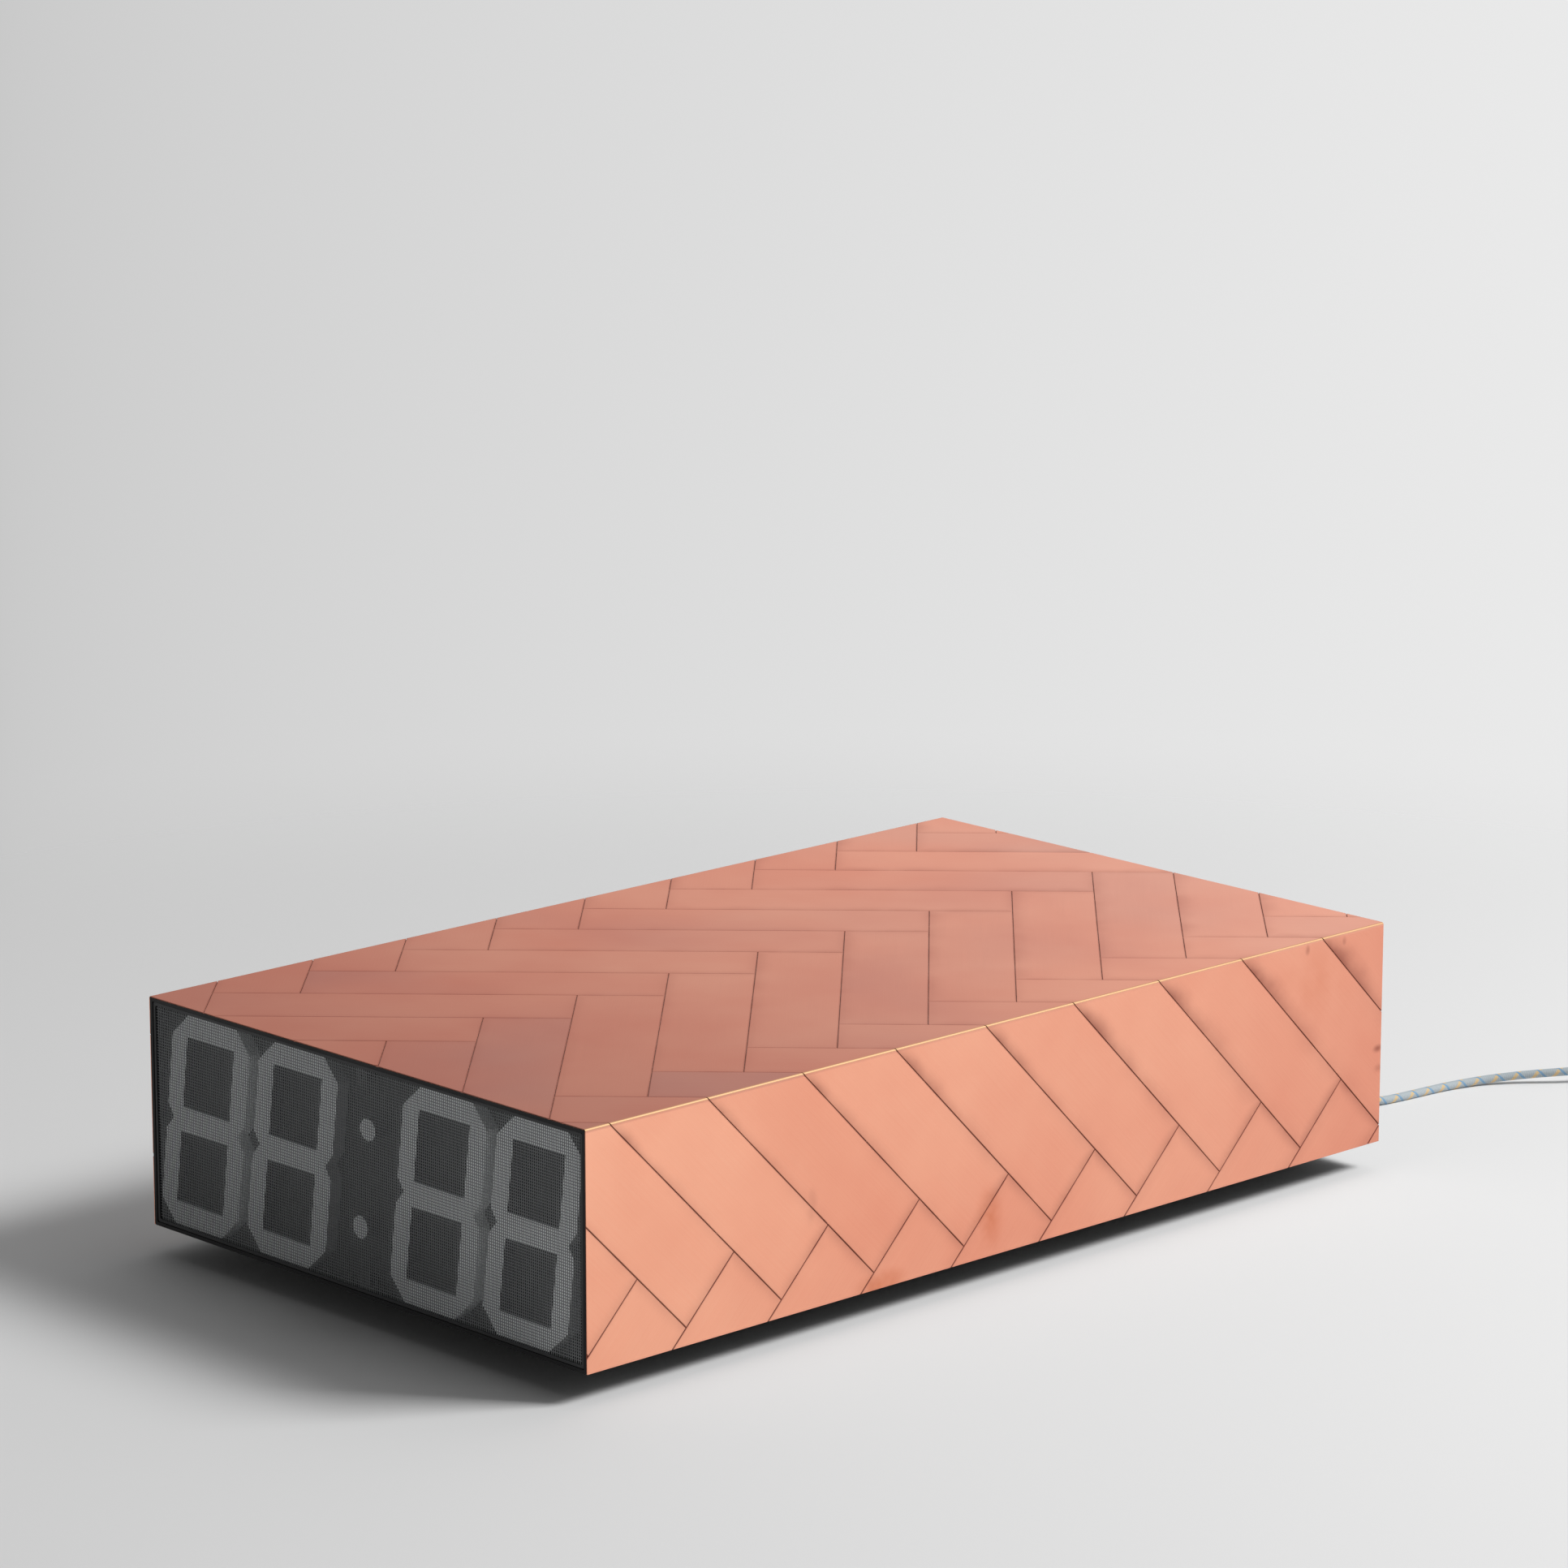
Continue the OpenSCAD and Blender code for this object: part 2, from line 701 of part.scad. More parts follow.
function middle_of(outline) = [for (axis = [0, 1]) sum([for (p = outline) p[axis]]) / len(outline)];

module digit(x) {
    color(OPAL) translate([x, 0, mid_z]) for (outline = segment_outlines()) difference() {
        lengthways(seg_y, board_y) polygon(leaned(inset(outline, seg_gap / 2)));
        lengthways(board_y - pocket_depth, board_y + cut_past)
            polygon(leaned(inset(outline, seg_gap / 2 + seg_wall)));
    }
}

module digit_1() digit(-digit_outer);
module digit_2() digit(-digit_inner);
module digit_3() digit(digit_inner);
module digit_4() digit(digit_outer);

module at_colon_dots()
    for (s = [-1, 1]) translate([s * lean * dot_z, 0, mid_z + s * dot_z]) children();

module colon_dots() {
    color(OPAL) at_colon_dots() difference() {
        rod(dot_d, seg_y, board_y);
        rod(dot_d - 2 * seg_wall, board_y - pocket_depth, board_y + cut_past);
    }
}

module segment_led() translate([-led_size.x / 2, board_y - led_size.y, -led_size.z / 2]) cube(led_size);

module segment_leds() {
    color("white") {
        for (x = [-digit_outer, -digit_inner, digit_inner, digit_outer], outline = segment_outlines()) {
            at = middle_of(leaned(outline));
            translate([x + at.x, 0, mid_z + at.y]) segment_led();
        }
        at_colon_dots() segment_led();
    }
}

module at_board_screws()
    for (sx = [-1, 1], sz = [-1, 1])
        translate([sx * (board_x - board_screw_inset), 0, mid_z + sz * (board_z - board_screw_inset)])
            children();

module led_board() {
    hole = m3[0] + 2 * screw_clear;
    color(BLACK) difference() {
        translate([0, 0, mid_z]) lengthways(board_y, post_y)
            square(2 * [board_x, board_z], center = true);
        at_board_screws() rod(hole, board_y - cut_past, post_y + cut_past);
        at_grille_tabs() rod(hole, board_y - cut_past, post_y + cut_past);
    }
}

module board_screws() {
    color(STEEL) at_board_screws()
        translate([0, board_y, 0]) rotate([90, 0, 0]) screw(m3, board_t + 2 * post_t);
}

module display_post() {
    color(BLACK) difference() {
        translate([0, 0, in_low]) linear_extrude(in_h) polygon([
            [in_x, post_y], [in_x, post_y + post_w], [in_x - post_t, post_y + post_w],
            [in_x - post_t, post_y + post_t], [in_x - post_w, post_y + post_t], [in_x - post_w, post_y]
        ]);
        at_board_screws() rod(m3[0] + 2 * screw_clear, post_y - cut_past, post_y + post_t + cut_past);
    }
}

module left_display_post() mirror([1, 0, 0]) display_post();
module right_display_post() display_post();

// Electronics

module at_control_corners()
    for (sx = [-1, 1], y = [control_front + control_inset, control_rear - control_inset])
        translate([control_x + sx * (control_w / 2 - control_inset), y, 0]) children();

module controller_board() {
    color(BOARD_GREEN) difference() {
        translate([control_x - control_w / 2, control_front, control_top - board_t])
            cube([control_w, control_l, board_t]);
        at_control_corners() translate([0, 0, control_top - board_t - cut_past])
            cylinder(d = m3[0] + 2 * screw_clear, h = board_t + 2 * cut_past);
    }
}

module controller_standoffs() {
    color(STEEL) at_control_corners() translate([0, 0, in_low]) difference() {
        cylinder(d = standoff_d, h = standoff_h);
        translate([0, 0, standoff_floor]) cylinder(d = m3[0] + 2 * screw_clear, h = standoff_h);
    }
}

module controller_screws() {
    length = board_t + standoff_h - standoff_floor - screw_short;
    color(STEEL) at_control_corners() translate([0, 0, control_top]) screw(m3, length);
}

// A block that stands on the controller board, placed by its centre
module on_board(x, y, size)
    translate([control_x + x - size.x / 2, y - size.y / 2, control_top]) cube(size);

module controller_parts() {
    color(BLACK) {
        on_board(chip_x, control_mid, main_chip);
        for (s = [-1, 1]) on_board(chip_x + s * chip_spread.x, control_mid - chip_spread.y, small_chip);
        for (x = [hour_x, minute_x]) on_board(x - control_x, header_y, header_size);
        on_board((control_w - dc_size.x) / 2, supply_wire_run(0.5), dc_size);
        translate([control_x + control_w / 2 - capacitor_at.x, control_mid + capacitor_at.y, control_top])
            cylinder(d = capacitor[0], h = capacitor[1]);
    }
}

module at_cell() translate([control_x - control_w / 4, control_mid, control_top]) children();

module cell_holder() {
    seat_d = cell_d + 2 * cell_room;
    color(BLACK) at_cell() difference() {
        cylinder(d = seat_d + 2 * cell_wall, h = cell_seat + cell_t);
        translate([0, 0, cell_seat]) cylinder(d = seat_d, h = cell_t + cut_past);
    }
}

module backup_cell() {
    color(STEEL) at_cell() translate([0, 0, cell_seat]) {
        cylinder(d = cell_d, h = cell_t - cell_step[1]);
        cylinder(d = cell_d - 2 * cell_step[0], h = cell_t);
    }
}

module ribbon_sockets() {
    color(BLACK) {
        on_board(socket_x, socket_y, socket_size);
        translate([control_x + socket_x - socket_size.x / 2, post_y, led_socket_z - socket_size.z / 2])
            cube(socket_size);
    }
}

module display_ribbon() {
    start = [socket_y - socket_size.y / 2, socket_z];
    end = [post_y + socket_size.y, led_socket_z];
    lead = [ribbon_lead, 0];
    lying = in_low + ribbon_t / 2;
    line = [
        start, start - lead, [start.x - ribbon_lead - ribbon_rise, lying],
        [end.x + ribbon_lead + ribbon_rise, lying], end + lead, end
    ];
    color("silver") translate([control_x + socket_x - ribbon_w / 2, 0, 0]) rotate([90, 0, 90])
        linear_extrude(ribbon_w) polygon(band(line, ribbon_t));
}

function supply_screw_points() = [
    for (s = [-1, 1]) [supply_x + s * (supply_w / 2 + supply_ear / 2), supply_rear - supply_l / 2]
];

module power_supply() {
    left = supply_x - supply_w / 2;
    vents = floor(supply_l / (3 * vent)) - 1;
    color(STEEL) difference() {
        union() {
            translate([left, supply_rear - supply_l, in_low]) cube([supply_w, supply_l, supply_h]);
            translate([left - supply_ear, supply_rear - supply_l / 2 - supply_ear, in_low])
                cube([supply_w + 2 * supply_ear, 2 * supply_ear, ear_t]);
        }
        for (i = [1:vents])
            translate([left + 4 * vent, supply_rear - 3 * vent * i, in_low + supply_h - vent / 2])
                cube([supply_w - 8 * vent, vent, vent]);
        for (at = supply_screw_points()) translate([at.x, at.y, in_low - cut_past])
            cylinder(d = m3[0] + 2 * screw_clear, h = ear_t + 2 * cut_past);
    }
}

module supply_terminals() {
    color(BLACK) translate([supply_x, supply_rear, in_low + terminal_low]) difference() {
        translate([-terminal_size.x / 2, 0, 0]) cube(terminal_size);
        for (i = [-3:3])
            translate([i * terminal_way, terminal_size.y / 2, terminal_size.z - terminal_bore[1]])
                cylinder(d = terminal_bore[0], h = terminal_bore[1] + cut_past);
    }
}

module supply_screws() {
    color(STEEL) for (at = supply_screw_points())
        translate([at.x, at.y, in_low + ear_t]) screw(m3, ear_t + sleeve_t - screw_short);
}

// Place of a supply wire's long run behind the terminals
function supply_wire_run(k) = terminal_y + supply_wire_bend + supply_wire_gap * (1 - k) + supply_wire_out;

module supply_wires() {
    color("firebrick") for (k = [0, 1]) {
        x = supply_wire_x - supply_wire_gap * k;
        run = supply_wire_run(k);
        turn = [x - supply_wire_bend, run - supply_wire_bend];
        end = [control_x + control_w / 2, run];
        flat = concat(
            [[x, terminal_y]],
            [for (a = [0:15:90]) turn + supply_wire_bend * [cos(a), sin(a)]],
            [end]
        );
        tube([for (p = flat) [p.x, p.y, supply_wire_z]], supply_wire_d, 8);
    }
}

module mains_lead() {
    color("gray") translate([cord_x, 0, cord_z]) rod(cord_d, terminal_y, panel_in - barrel_l);
}

// Rear panel and buttons

module at_lugs()
    for (sx = [-1, 1], sz = [-1, 1])
        translate([sx * (in_x - lug_inset), 0, mid_z + sz * (in_h / 2 - lug_size.z)]) children();

module rear_panel() {
    color(BLACK) difference() {
        translate([0, 0, mid_z]) lengthways(panel_in, panel_out)
            square([2 * (in_x - panel_clear), in_h - 2 * panel_clear], center = true);
        at_lugs() rod(m4[0] + 2 * screw_clear, panel_in - cut_past, panel_out + cut_past);
        for (x = [hour_x, minute_x]) translate([x, 0, button_z])
            rod(bush_d + 2 * thread_clear, panel_in - cut_past, panel_out + cut_past);
        translate([cord_x, 0, cord_z])
            rod(barrel_d + 2 * thread_clear, panel_in - cut_past, panel_out + cut_past);
    }
}

module rear_lug() {
    difference() {
        union() {
            translate([lug_inset - lug_size.x, panel_in - lug_t, -lug_size.z / 2])
                cube([lug_size.x, lug_t, lug_size.z]);
            translate([lug_inset - lug_t, panel_in - lug_size.y, -lug_size.z / 2])
                cube([lug_t, lug_size.y, lug_size.z]);
        }
        rod(m4[0] + 2 * screw_clear, panel_in - lug_t - cut_past, panel_in + cut_past);
    }
}

module rear_lugs() {
    color(BLACK) for (side = [0, 1]) mirror([side, 0, 0]) for (sz = [-1, 1])
        translate([in_x - lug_inset, 0, mid_z + sz * (in_h / 2 - lug_size.z)]) rear_lug();
}

module rear_screws() {
    color(BLACK) at_lugs()
        translate([0, panel_out, 0]) rotate([-90, 0, 0]) screw(m4, panel_t + 2 * lug_t);
}

// Pushes in along -Y; a shoulder behind the bush's lip stops it at rest
module set_button(x) {
    lip = bush_face - bush_lip;
    color(STEEL) translate([x, 0, button_z]) {
        rod(button_d, lip, bush_face + button_proud);
        rod(button_d + 2 * shoulder_w, lip - shoulder_t, lip);
        rod(tail_d, switch_y + switch_size.y - tail_in, lip - shoulder_t / 2);
    }
}

module hour_button() set_button(hour_x);
module minute_button() set_button(minute_x);

module at_buttons() for (x = [hour_x, minute_x]) translate([x, 0, button_z]) children();

module button_bushes() {
    lip = bush_face - bush_lip;
    color(BLACK) at_buttons() difference() {
        union() {
            rod(bush_flange[0], panel_out, bush_face);
            rod(bush_d, panel_in - bush_l, bush_face);
        }
        rod(button_d + 2 * button_fit, lip - cut_past, bush_face + cut_past);
        rod(button_d + 2 * (shoulder_w + tail_clear), panel_in - bush_l - cut_past, lip);
    }
}

module button_nuts() {
    color(STEEL) at_buttons() translate([0, panel_in, 0]) rotate([90, 0, 0])
        hex_nut(button_nut[0], button_nut[1], bush_d + 2 * thread_clear);
}

module button_switches() {
    front = switch_y + switch_size.y;
    color(BLACK) at_buttons() difference() {
        translate([-switch_size.x / 2, switch_y, -switch_size.z / 2]) cube(switch_size);
        rod(tail_d + 2 * tail_clear, front - tail_in - button_travel - tail_spare, front + cut_past);
    }
}

module button_wires() {
    color("dimgray") for (x = [hour_x, minute_x]) {
        points = concat(
            [[x, switch_y, button_z]],
            [for (a = [15:15:90]) [x, switch_y - wire_bend * sin(a), button_z - wire_bend * (1 - cos(a))]],
            [[x, header_y, control_top + header_size.z]]
        );
        tube(points, wire_d, 8, [1, 0, 0]);
    }
}

// Cord outlet

// Moulded onto the cord: a threaded barrel through the panel, a flange and a ribbed taper
module strain_relief() {
    r = relief_d / 2;
    taper_l = relief_l - relief_flange;
    ribs = floor((taper_l - rib_step) / rib_step);
    color(BLACK) translate([cord_x, panel_out, cord_z]) rotate([-90, 0, 0]) rotate_extrude() {
        polygon([
            [0, -panel_t - barrel_l], [barrel_d / 2, -panel_t - barrel_l], [barrel_d / 2, 0], [r[0], 0],
            [r[0], relief_flange], [r[1], relief_flange], [r[2], relief_l], [0, relief_l]
        ]);
        for (i = [1:ribs]) {
            along_taper = i * rib_step;
            translate([0, relief_flange + along_taper - rib_w / 2])
                square([r[1] + (r[2] - r[1]) * along_taper / taper_l + rib_h, rib_w]);
        }
    }
}

module relief_nut() {
    color(BLACK) translate([cord_x, panel_in, cord_z]) rotate([90, 0, 0])
        hex_nut(relief_nut_size[0], relief_nut_size[1], barrel_d + 2 * thread_clear);
}

// Power cord

// The wound cord after a number of turns: in along the upper layer, down at the reversal,
// out along the lower one
function coil_at(turn) =
    let (
        middle = coil_turns / 2,
        r = coil_in_r + coil_pitch * abs(turn - middle),
        angle = coil_start - 360 * turn,
        drop = min(max((turn - middle) * 2 + 0.5, 0), 1),
        z = coil_high - coil_layer * drop * drop * (3 - 2 * drop)
    )
        [coil_centre.x + r * cos(angle), coil_centre.y + r * sin(angle), z];

// Least clear distance between turns, measured on the points of the coil
function coil_gap() =
    let (last = len(coil_points) - 1, half_turn = floor(coil_rings / 2))
        min([
            for (i = [0:last])
                for (j = [i + half_turn:1:last]) norm(coil_points[i] - coil_points[j])
        ]) - cord_d;

module power_cord() {
    color("lightsteelblue") tube(cord_route, cord_d, cord_sides);
}

module cord_coil() {
    echo(str("least gap between the coil's turns: ", coil_gap(), " mm"));
    color("lightsteelblue") tube(coil_points, cord_d, coil_sides);
}

module cord_tail() {
    color("lightsteelblue") tube(tail_route, cord_d, cord_sides);
}

module coil_tie() {
    inner = coil_in_r - cord_d / 2 - tie_inner_room;
    outer = coil_out_r + cord_d / 2 + tie_room[0];
    height = coil_high + cord_d / 2 + tie_room[1] - tie_t;
    color("dimgray") translate([coil_centre.x, coil_centre.y, 0]) rotate(tie_angle)
        translate([(inner + outer) / 2, tie_w / 2, tie_t + height / 2]) rotate([90, 0, 0])
            linear_extrude(tie_w) difference() {
                rounded_rect([outer - inner + 2 * tie_t, height + 2 * tie_t], tie_r[1]);
                rounded_rect([outer - inner, height], tie_r[0]);
            }
}

// Flat two-pin plug, drawn along +X from its cord end
module at_plug() translate(plug_start) rotate(atan2(coil_out_dir.y, coil_out_dir.x)) children();

module at_pins() at_plug() for (s = [-1, 1])
    translate([plug_base + plug_size.x - pin_in, s * pin_spacing / 2, 0]) rotate([0, 90, 0]) children();

module plug_body() {
    l = plug_size.x;
    w = plug_size.y / 2;
    t = plug_size.z / 2;
    c = plug_edge[0];
    e = plug_edge[1];
    color("dimgray") difference() {
        at_plug() union() {
            rotate([0, 90, 0]) cylinder(d1 = plug_neck_d[0], d2 = plug_neck_d[1], h = plug_neck_l);
            intersection() {
                translate([plug_base, 0, -t]) linear_extrude(2 * t) polygon([
                    [0, -w / 3], [l / 2, -w], [l - c, -w], [l, c - w],
                    [l, w - c], [l - c, w], [l / 2, w], [0, w / 3]
                ]);
                translate([plug_base, w, 0]) rotate([90, 0, 0]) linear_extrude(2 * w) polygon([
                    [0, e - t], [l / 3, -t], [l - e, -t], [l, e - t],
                    [l, t - e], [l - e, t], [l / 3, t], [0, t - e]
                ]);
            }
        }
        at_pins() cylinder(d = pin_d + 2 * pin_clear, h = pin_in + cut_past);
    }
}

module plug_pins() {
    straight = pin_in + pin_l - pin_tip[1];
    color("silver") at_pins() {
        cylinder(d = pin_d, h = straight);
        translate([0, 0, straight]) cylinder(d1 = pin_d, d2 = pin_d - 2 * pin_tip[0], h = pin_tip[1]);
    }
}

// Plinth

function plinth_screw_points() = concat(
    [for (sx = [-1, 1], sy = [-1, 1]) [sx * rail_screw_x, sy * (plinth_y - rail_w / 2)]],
    [for (sx = [-1, 1], sy = [-1, 1]) [sx * (plinth_x - rail_w / 2), sy * (plinth_y - rail_screw_inset)]]
);

function glide_points() = concat(
    [for (sx = [-1, 1], sy = [-1, 1]) [sx * (plinth_x - glide_inset), sy * (plinth_y - rail_w / 2)]],
    [for (sx = [-1, 1]) [sx * (plinth_x - rail_w / 2), 0]]
);

module plinth_rail(size, centre) {
    color(BLACK) difference() {
        translate([centre.x, centre.y, glide_t]) linear_extrude(rail_h) square(size, center = true);
        for (at = plinth_screw_points()) translate([at.x, at.y, under_z - rail_screw_l - rail_hole_past])
            cylinder(d = m4[0] + 2 * screw_clear, h = rail_screw_l + rail_hole_past + cut_past);
    }
}

module plinth_front() plinth_rail([2 * plinth_x, rail_w], [0, rail_w / 2 - plinth_y]);
module plinth_rear() plinth_rail([2 * plinth_x, rail_w], [0, plinth_y - rail_w / 2]);
module plinth_left() plinth_rail([rail_w, 2 * (plinth_y - rail_w)], [rail_w / 2 - plinth_x, 0]);
module plinth_right() plinth_rail([rail_w, 2 * (plinth_y - rail_w)], [plinth_x - rail_w / 2, 0]);

module plinth_screws() {
    color(STEEL) for (at = plinth_screw_points())
        translate([at.x, at.y, in_low]) screw(m4, sleeve_t + rail_screw_l);
}

module floor_glides() {
    color("dimgray") for (at = glide_points())
        translate([at.x, at.y, 0]) cylinder(d = glide_d, h = glide_t);
}

sleeve();
cladding_top_left();
cladding_top_right();
cladding_left_fold();
cladding_right_fold();
cladding_left_skirt();
cladding_right_skirt();
grille_rim();
grille_mesh();
grille_pillars();
grille_screws();
led_board();
digit_1();
digit_2();
digit_3();
digit_4();
colon_dots();
segment_leds();
board_screws();
left_display_post();
right_display_post();
controller_board();
controller_standoffs();
controller_screws();
controller_parts();
cell_holder();
backup_cell();
ribbon_sockets();
display_ribbon();
power_supply();
supply_terminals();
supply_screws();
supply_wires();
mains_lead();
rear_panel();
rear_lugs();
rear_screws();
hour_button();
minute_button();
button_bushes();
button_nuts();
button_switches();
button_wires();
strain_relief();
relief_nut();
power_cord();
cord_coil();
cord_tail();
coil_tie();
plug_body();
plug_pins();
plinth_front();
plinth_rear();
plinth_left();
plinth_right();
plinth_screws();
floor_glides();
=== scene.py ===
"""Floor clock in a folded herringbone skin of copper strips, dressed round its CAD frame.

Lengths are metres in the CAD frame: +Z is up, the display faces -Y, the floor is at Z = 0.
"""

import logging
import math
import random
from contextlib import contextmanager
from dataclasses import dataclass, field
from enum import Enum
from typing import Callable, Iterator, Sequence

import bmesh
import bpy
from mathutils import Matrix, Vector


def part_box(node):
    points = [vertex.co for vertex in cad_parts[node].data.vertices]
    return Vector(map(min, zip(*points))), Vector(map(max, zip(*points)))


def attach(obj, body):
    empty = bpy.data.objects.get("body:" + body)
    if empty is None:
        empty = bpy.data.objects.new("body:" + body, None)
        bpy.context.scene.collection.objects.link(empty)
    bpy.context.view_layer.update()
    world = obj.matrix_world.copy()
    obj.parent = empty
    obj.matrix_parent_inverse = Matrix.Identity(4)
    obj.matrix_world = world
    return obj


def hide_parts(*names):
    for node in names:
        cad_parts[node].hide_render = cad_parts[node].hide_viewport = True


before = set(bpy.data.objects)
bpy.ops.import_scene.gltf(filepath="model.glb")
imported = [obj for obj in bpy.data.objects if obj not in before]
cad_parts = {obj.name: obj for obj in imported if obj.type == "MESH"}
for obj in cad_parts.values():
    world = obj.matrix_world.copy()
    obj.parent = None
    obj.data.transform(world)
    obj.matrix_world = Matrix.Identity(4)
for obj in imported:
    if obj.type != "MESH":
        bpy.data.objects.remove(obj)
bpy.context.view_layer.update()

LOG = logging.getLogger("floor_clock")
# Short names of Blender's own types
Piece = bpy.types.Object
Tree = bpy.types.NodeTree
Node = bpy.types.Node
MM = 0.001
# Points closer than this are one point
MERGE = 0.002 * MM
# Degrees by which two faces may turn and still be one flat face, or be shaded as one smooth one
FLAT_ANGLE = 1.0
SMOOTH_ANGLE = 50.0
CASE = "case"


# Modelling moves


class Kind(Enum):
    """What is picked in edit mode."""

    VERT = "VERT"
    EDGE = "EDGE"


def make_active(piece: Piece) -> None:
    """Select one object alone and make it the active one.

    Args:
        piece: the object.
    """
    bpy.ops.object.select_all(action="DESELECT")
    piece.select_set(True)
    bpy.context.view_layer.objects.active = piece


def add_piece(name: str, primitive: Callable, **settings) -> Piece:
    """Add one primitive as a new object, alone in the selection.

    Args:
        name: name of the object and of its mesh.
        primitive: operator that adds it.
        settings: the operator's own settings.

    Returns:
        The new object.
    """
    bpy.ops.object.select_all(action="DESELECT")
    primitive(**settings)
    piece = bpy.context.object
    piece.name = name
    piece.data.name = name
    return piece


@contextmanager
def editing(piece: Piece) -> Iterator[None]:
    """Hold one object in edit mode with nothing selected.

    Args:
        piece: the object.
    """
    make_active(piece)
    bpy.ops.object.mode_set(mode="EDIT")
    bpy.ops.mesh.select_all(action="DESELECT")
    yield
    bpy.ops.object.mode_set(mode="OBJECT")


def pick(piece: Piece, kind: Kind, test: Callable[[Vector, Vector], bool]) -> int:
    """Select the vertices or edges of a mesh in edit mode that pass a test.

    Args:
        piece: the object in edit mode.
        kind: vertices or edges.
        test: says yes or no to a part's middle and its direction, which is the normal of a vertex and the
            line of an edge.

    Returns:
        How many parts were picked.
    """
    bpy.ops.mesh.select_mode(type=kind.value)
    bpy.ops.mesh.select_all(action="DESELECT")
    mesh = bmesh.from_edit_mesh(piece.data)
    mesh.normal_update()
    if kind is Kind.VERT:
        parts = [(v, v.co, v.normal) for v in mesh.verts]
    else:
        ends = [(e, e.verts[0].co, e.verts[1].co) for e in mesh.edges]
        parts = [(e, (start + end) / 2, end - start) for e, start, end in ends]
    found = [part for part, middle, direction in parts if test(middle, direction)]
    for part in found:
        part.select_set(True)
    mesh.select_flush_mode()
    bmesh.update_edit_mesh(piece.data)
    return len(found)


def apply_modifier(piece: Piece, kind: str, **settings) -> None:
    """Add one modifier with its settings and apply it.

    Args:
        piece: the object.
        kind: type of the modifier.
        settings: the modifier's own settings.
    """
    make_active(piece)
    bpy.ops.object.modifier_add(type=kind)
    modifier = piece.modifiers[-1]
    for name, value in settings.items():
        setattr(modifier, name, value)
    bpy.ops.object.modifier_apply(modifier=modifier.name)


def join(name: str, pieces: Sequence[Piece]) -> Piece:
    """Join objects into one, with their places kept in the mesh.

    Args:
        name: name of the joined object.
        pieces: the objects, of which the first takes in the others.

    Returns:
        The joined object.
    """
    bpy.ops.object.select_all(action="DESELECT")
    for piece in pieces:
        piece.select_set(True)
    bpy.context.view_layer.objects.active = pieces[0]
    bpy.ops.object.transform_apply(location=True, rotation=True, scale=True)
    bpy.ops.object.join()
    pieces[0].name = name
    pieces[0].data.name = name
    return pieces[0]


def settle(piece: Piece, smooth_angle: float) -> None:
    """Put an object's place into its mesh and shade it smooth up to an angle in degrees.

    Args:
        piece: the object.
        smooth_angle: the angle.
    """
    make_active(piece)
    bpy.ops.object.transform_apply(location=True, rotation=True, scale=True)
    bpy.ops.object.shade_smooth_by_angle(angle=math.radians(smooth_angle))


def turn(name: str, outline: Sequence[tuple[float, float]], bored: bool = False,
         sides: int = 40) -> Piece:
    """Turn a piece as on a lathe whose axis runs back along +Y.

    Args:
        name: name of the new object.
        outline: radius and place along the axis of each step.
        bored: leaves the axis open and joins the last step to the first.
        sides: faces around it.

    Returns:
        The turned piece, with its axis on X = 0 and Z = 0.
    """
    piece = add_piece(
        name, bpy.ops.mesh.primitive_circle_add, vertices=sides, radius=outline[0][0],
        fill_type="NOTHING" if bored else "NGON", location=(0, outline[0][1], 0),
        rotation=(math.pi / 2, 0, 0))
    bpy.ops.object.transform_apply(location=True, rotation=True, scale=True)
    with editing(piece):
        bpy.ops.mesh.select_all(action="SELECT")
        for (radius, back), (next_radius, next_back) in zip(outline, outline[1:]):
            bpy.ops.mesh.extrude_region_move(TRANSFORM_OT_translate={"value": (0, next_back - back, 0)})
            share = next_radius / radius
            bpy.ops.transform.resize(value=(share, 1, share), center_override=(0, next_back, 0))
        bpy.ops.mesh.select_all(action="SELECT")
        bpy.ops.mesh.remove_doubles(threshold=MERGE)
        bpy.ops.mesh.normals_make_consistent(inside=False)
    return piece


def repeat(name: str, model: Piece,
           places: Sequence[tuple[float, float, float]]) -> Piece:
    """Copy a modelled piece to several places, each copy with its own mesh, and join the copies.

    Args:
        name: name of the joined object.
        model: the piece at the origin, which the copies take the place of.
        places: where the copies go.

    Returns:
        The joined copies.
    """
    copies = []
    for place in places:
        make_active(model)
        bpy.ops.object.duplicate(linked=False)
        bpy.context.object.location = place
        copies.append(bpy.context.object)
    bpy.data.objects.remove(model)
    return join(name, copies)


def carry_over(node: str, name: str) -> Piece:
    """Copy a CAD node into a new piece, with its loose triangles merged back to whole faces.

    Args:
        node: the CAD node.
        name: name of the new object.

    Returns:
        The new piece.
    """
    piece = bpy.data.objects.new(name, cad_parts[node].data.copy())
    piece.data.name = name
    bpy.context.scene.collection.objects.link(piece)
    with editing(piece):
        bpy.ops.mesh.select_all(action="SELECT")
        bpy.ops.mesh.remove_doubles(threshold=MERGE)
        bpy.ops.mesh.select_all(action="SELECT")
        bpy.ops.mesh.dissolve_limited(angle_limit=math.radians(FLAT_ANGLE))
    return piece


def soften(piece: Piece, width: float, segments: int = 2, sharper_than: float = 35.0,
           **settings) -> None:
    """Round the sharper edges of a piece and settle it.

    Args:
        piece: the object.
        width: of the rounding.
        segments: faces across the rounding.
        sharper_than: angle in degrees above which an edge is rounded.
        settings: other settings of the bevel.
    """
    apply_modifier(piece, "BEVEL", width=width, segments=segments, limit_method="ANGLE",
                   angle_limit=math.radians(sharper_than), **settings)
    settle(piece, SMOOTH_ANGLE)
    apply_modifier(piece, "WEIGHTED_NORMAL", keep_sharp=True)


# Finishes

# Nearly all values of a noise texture lie between these two
NOISE_SPREAD = {"From Min": 0.3, "From Max": 0.7}


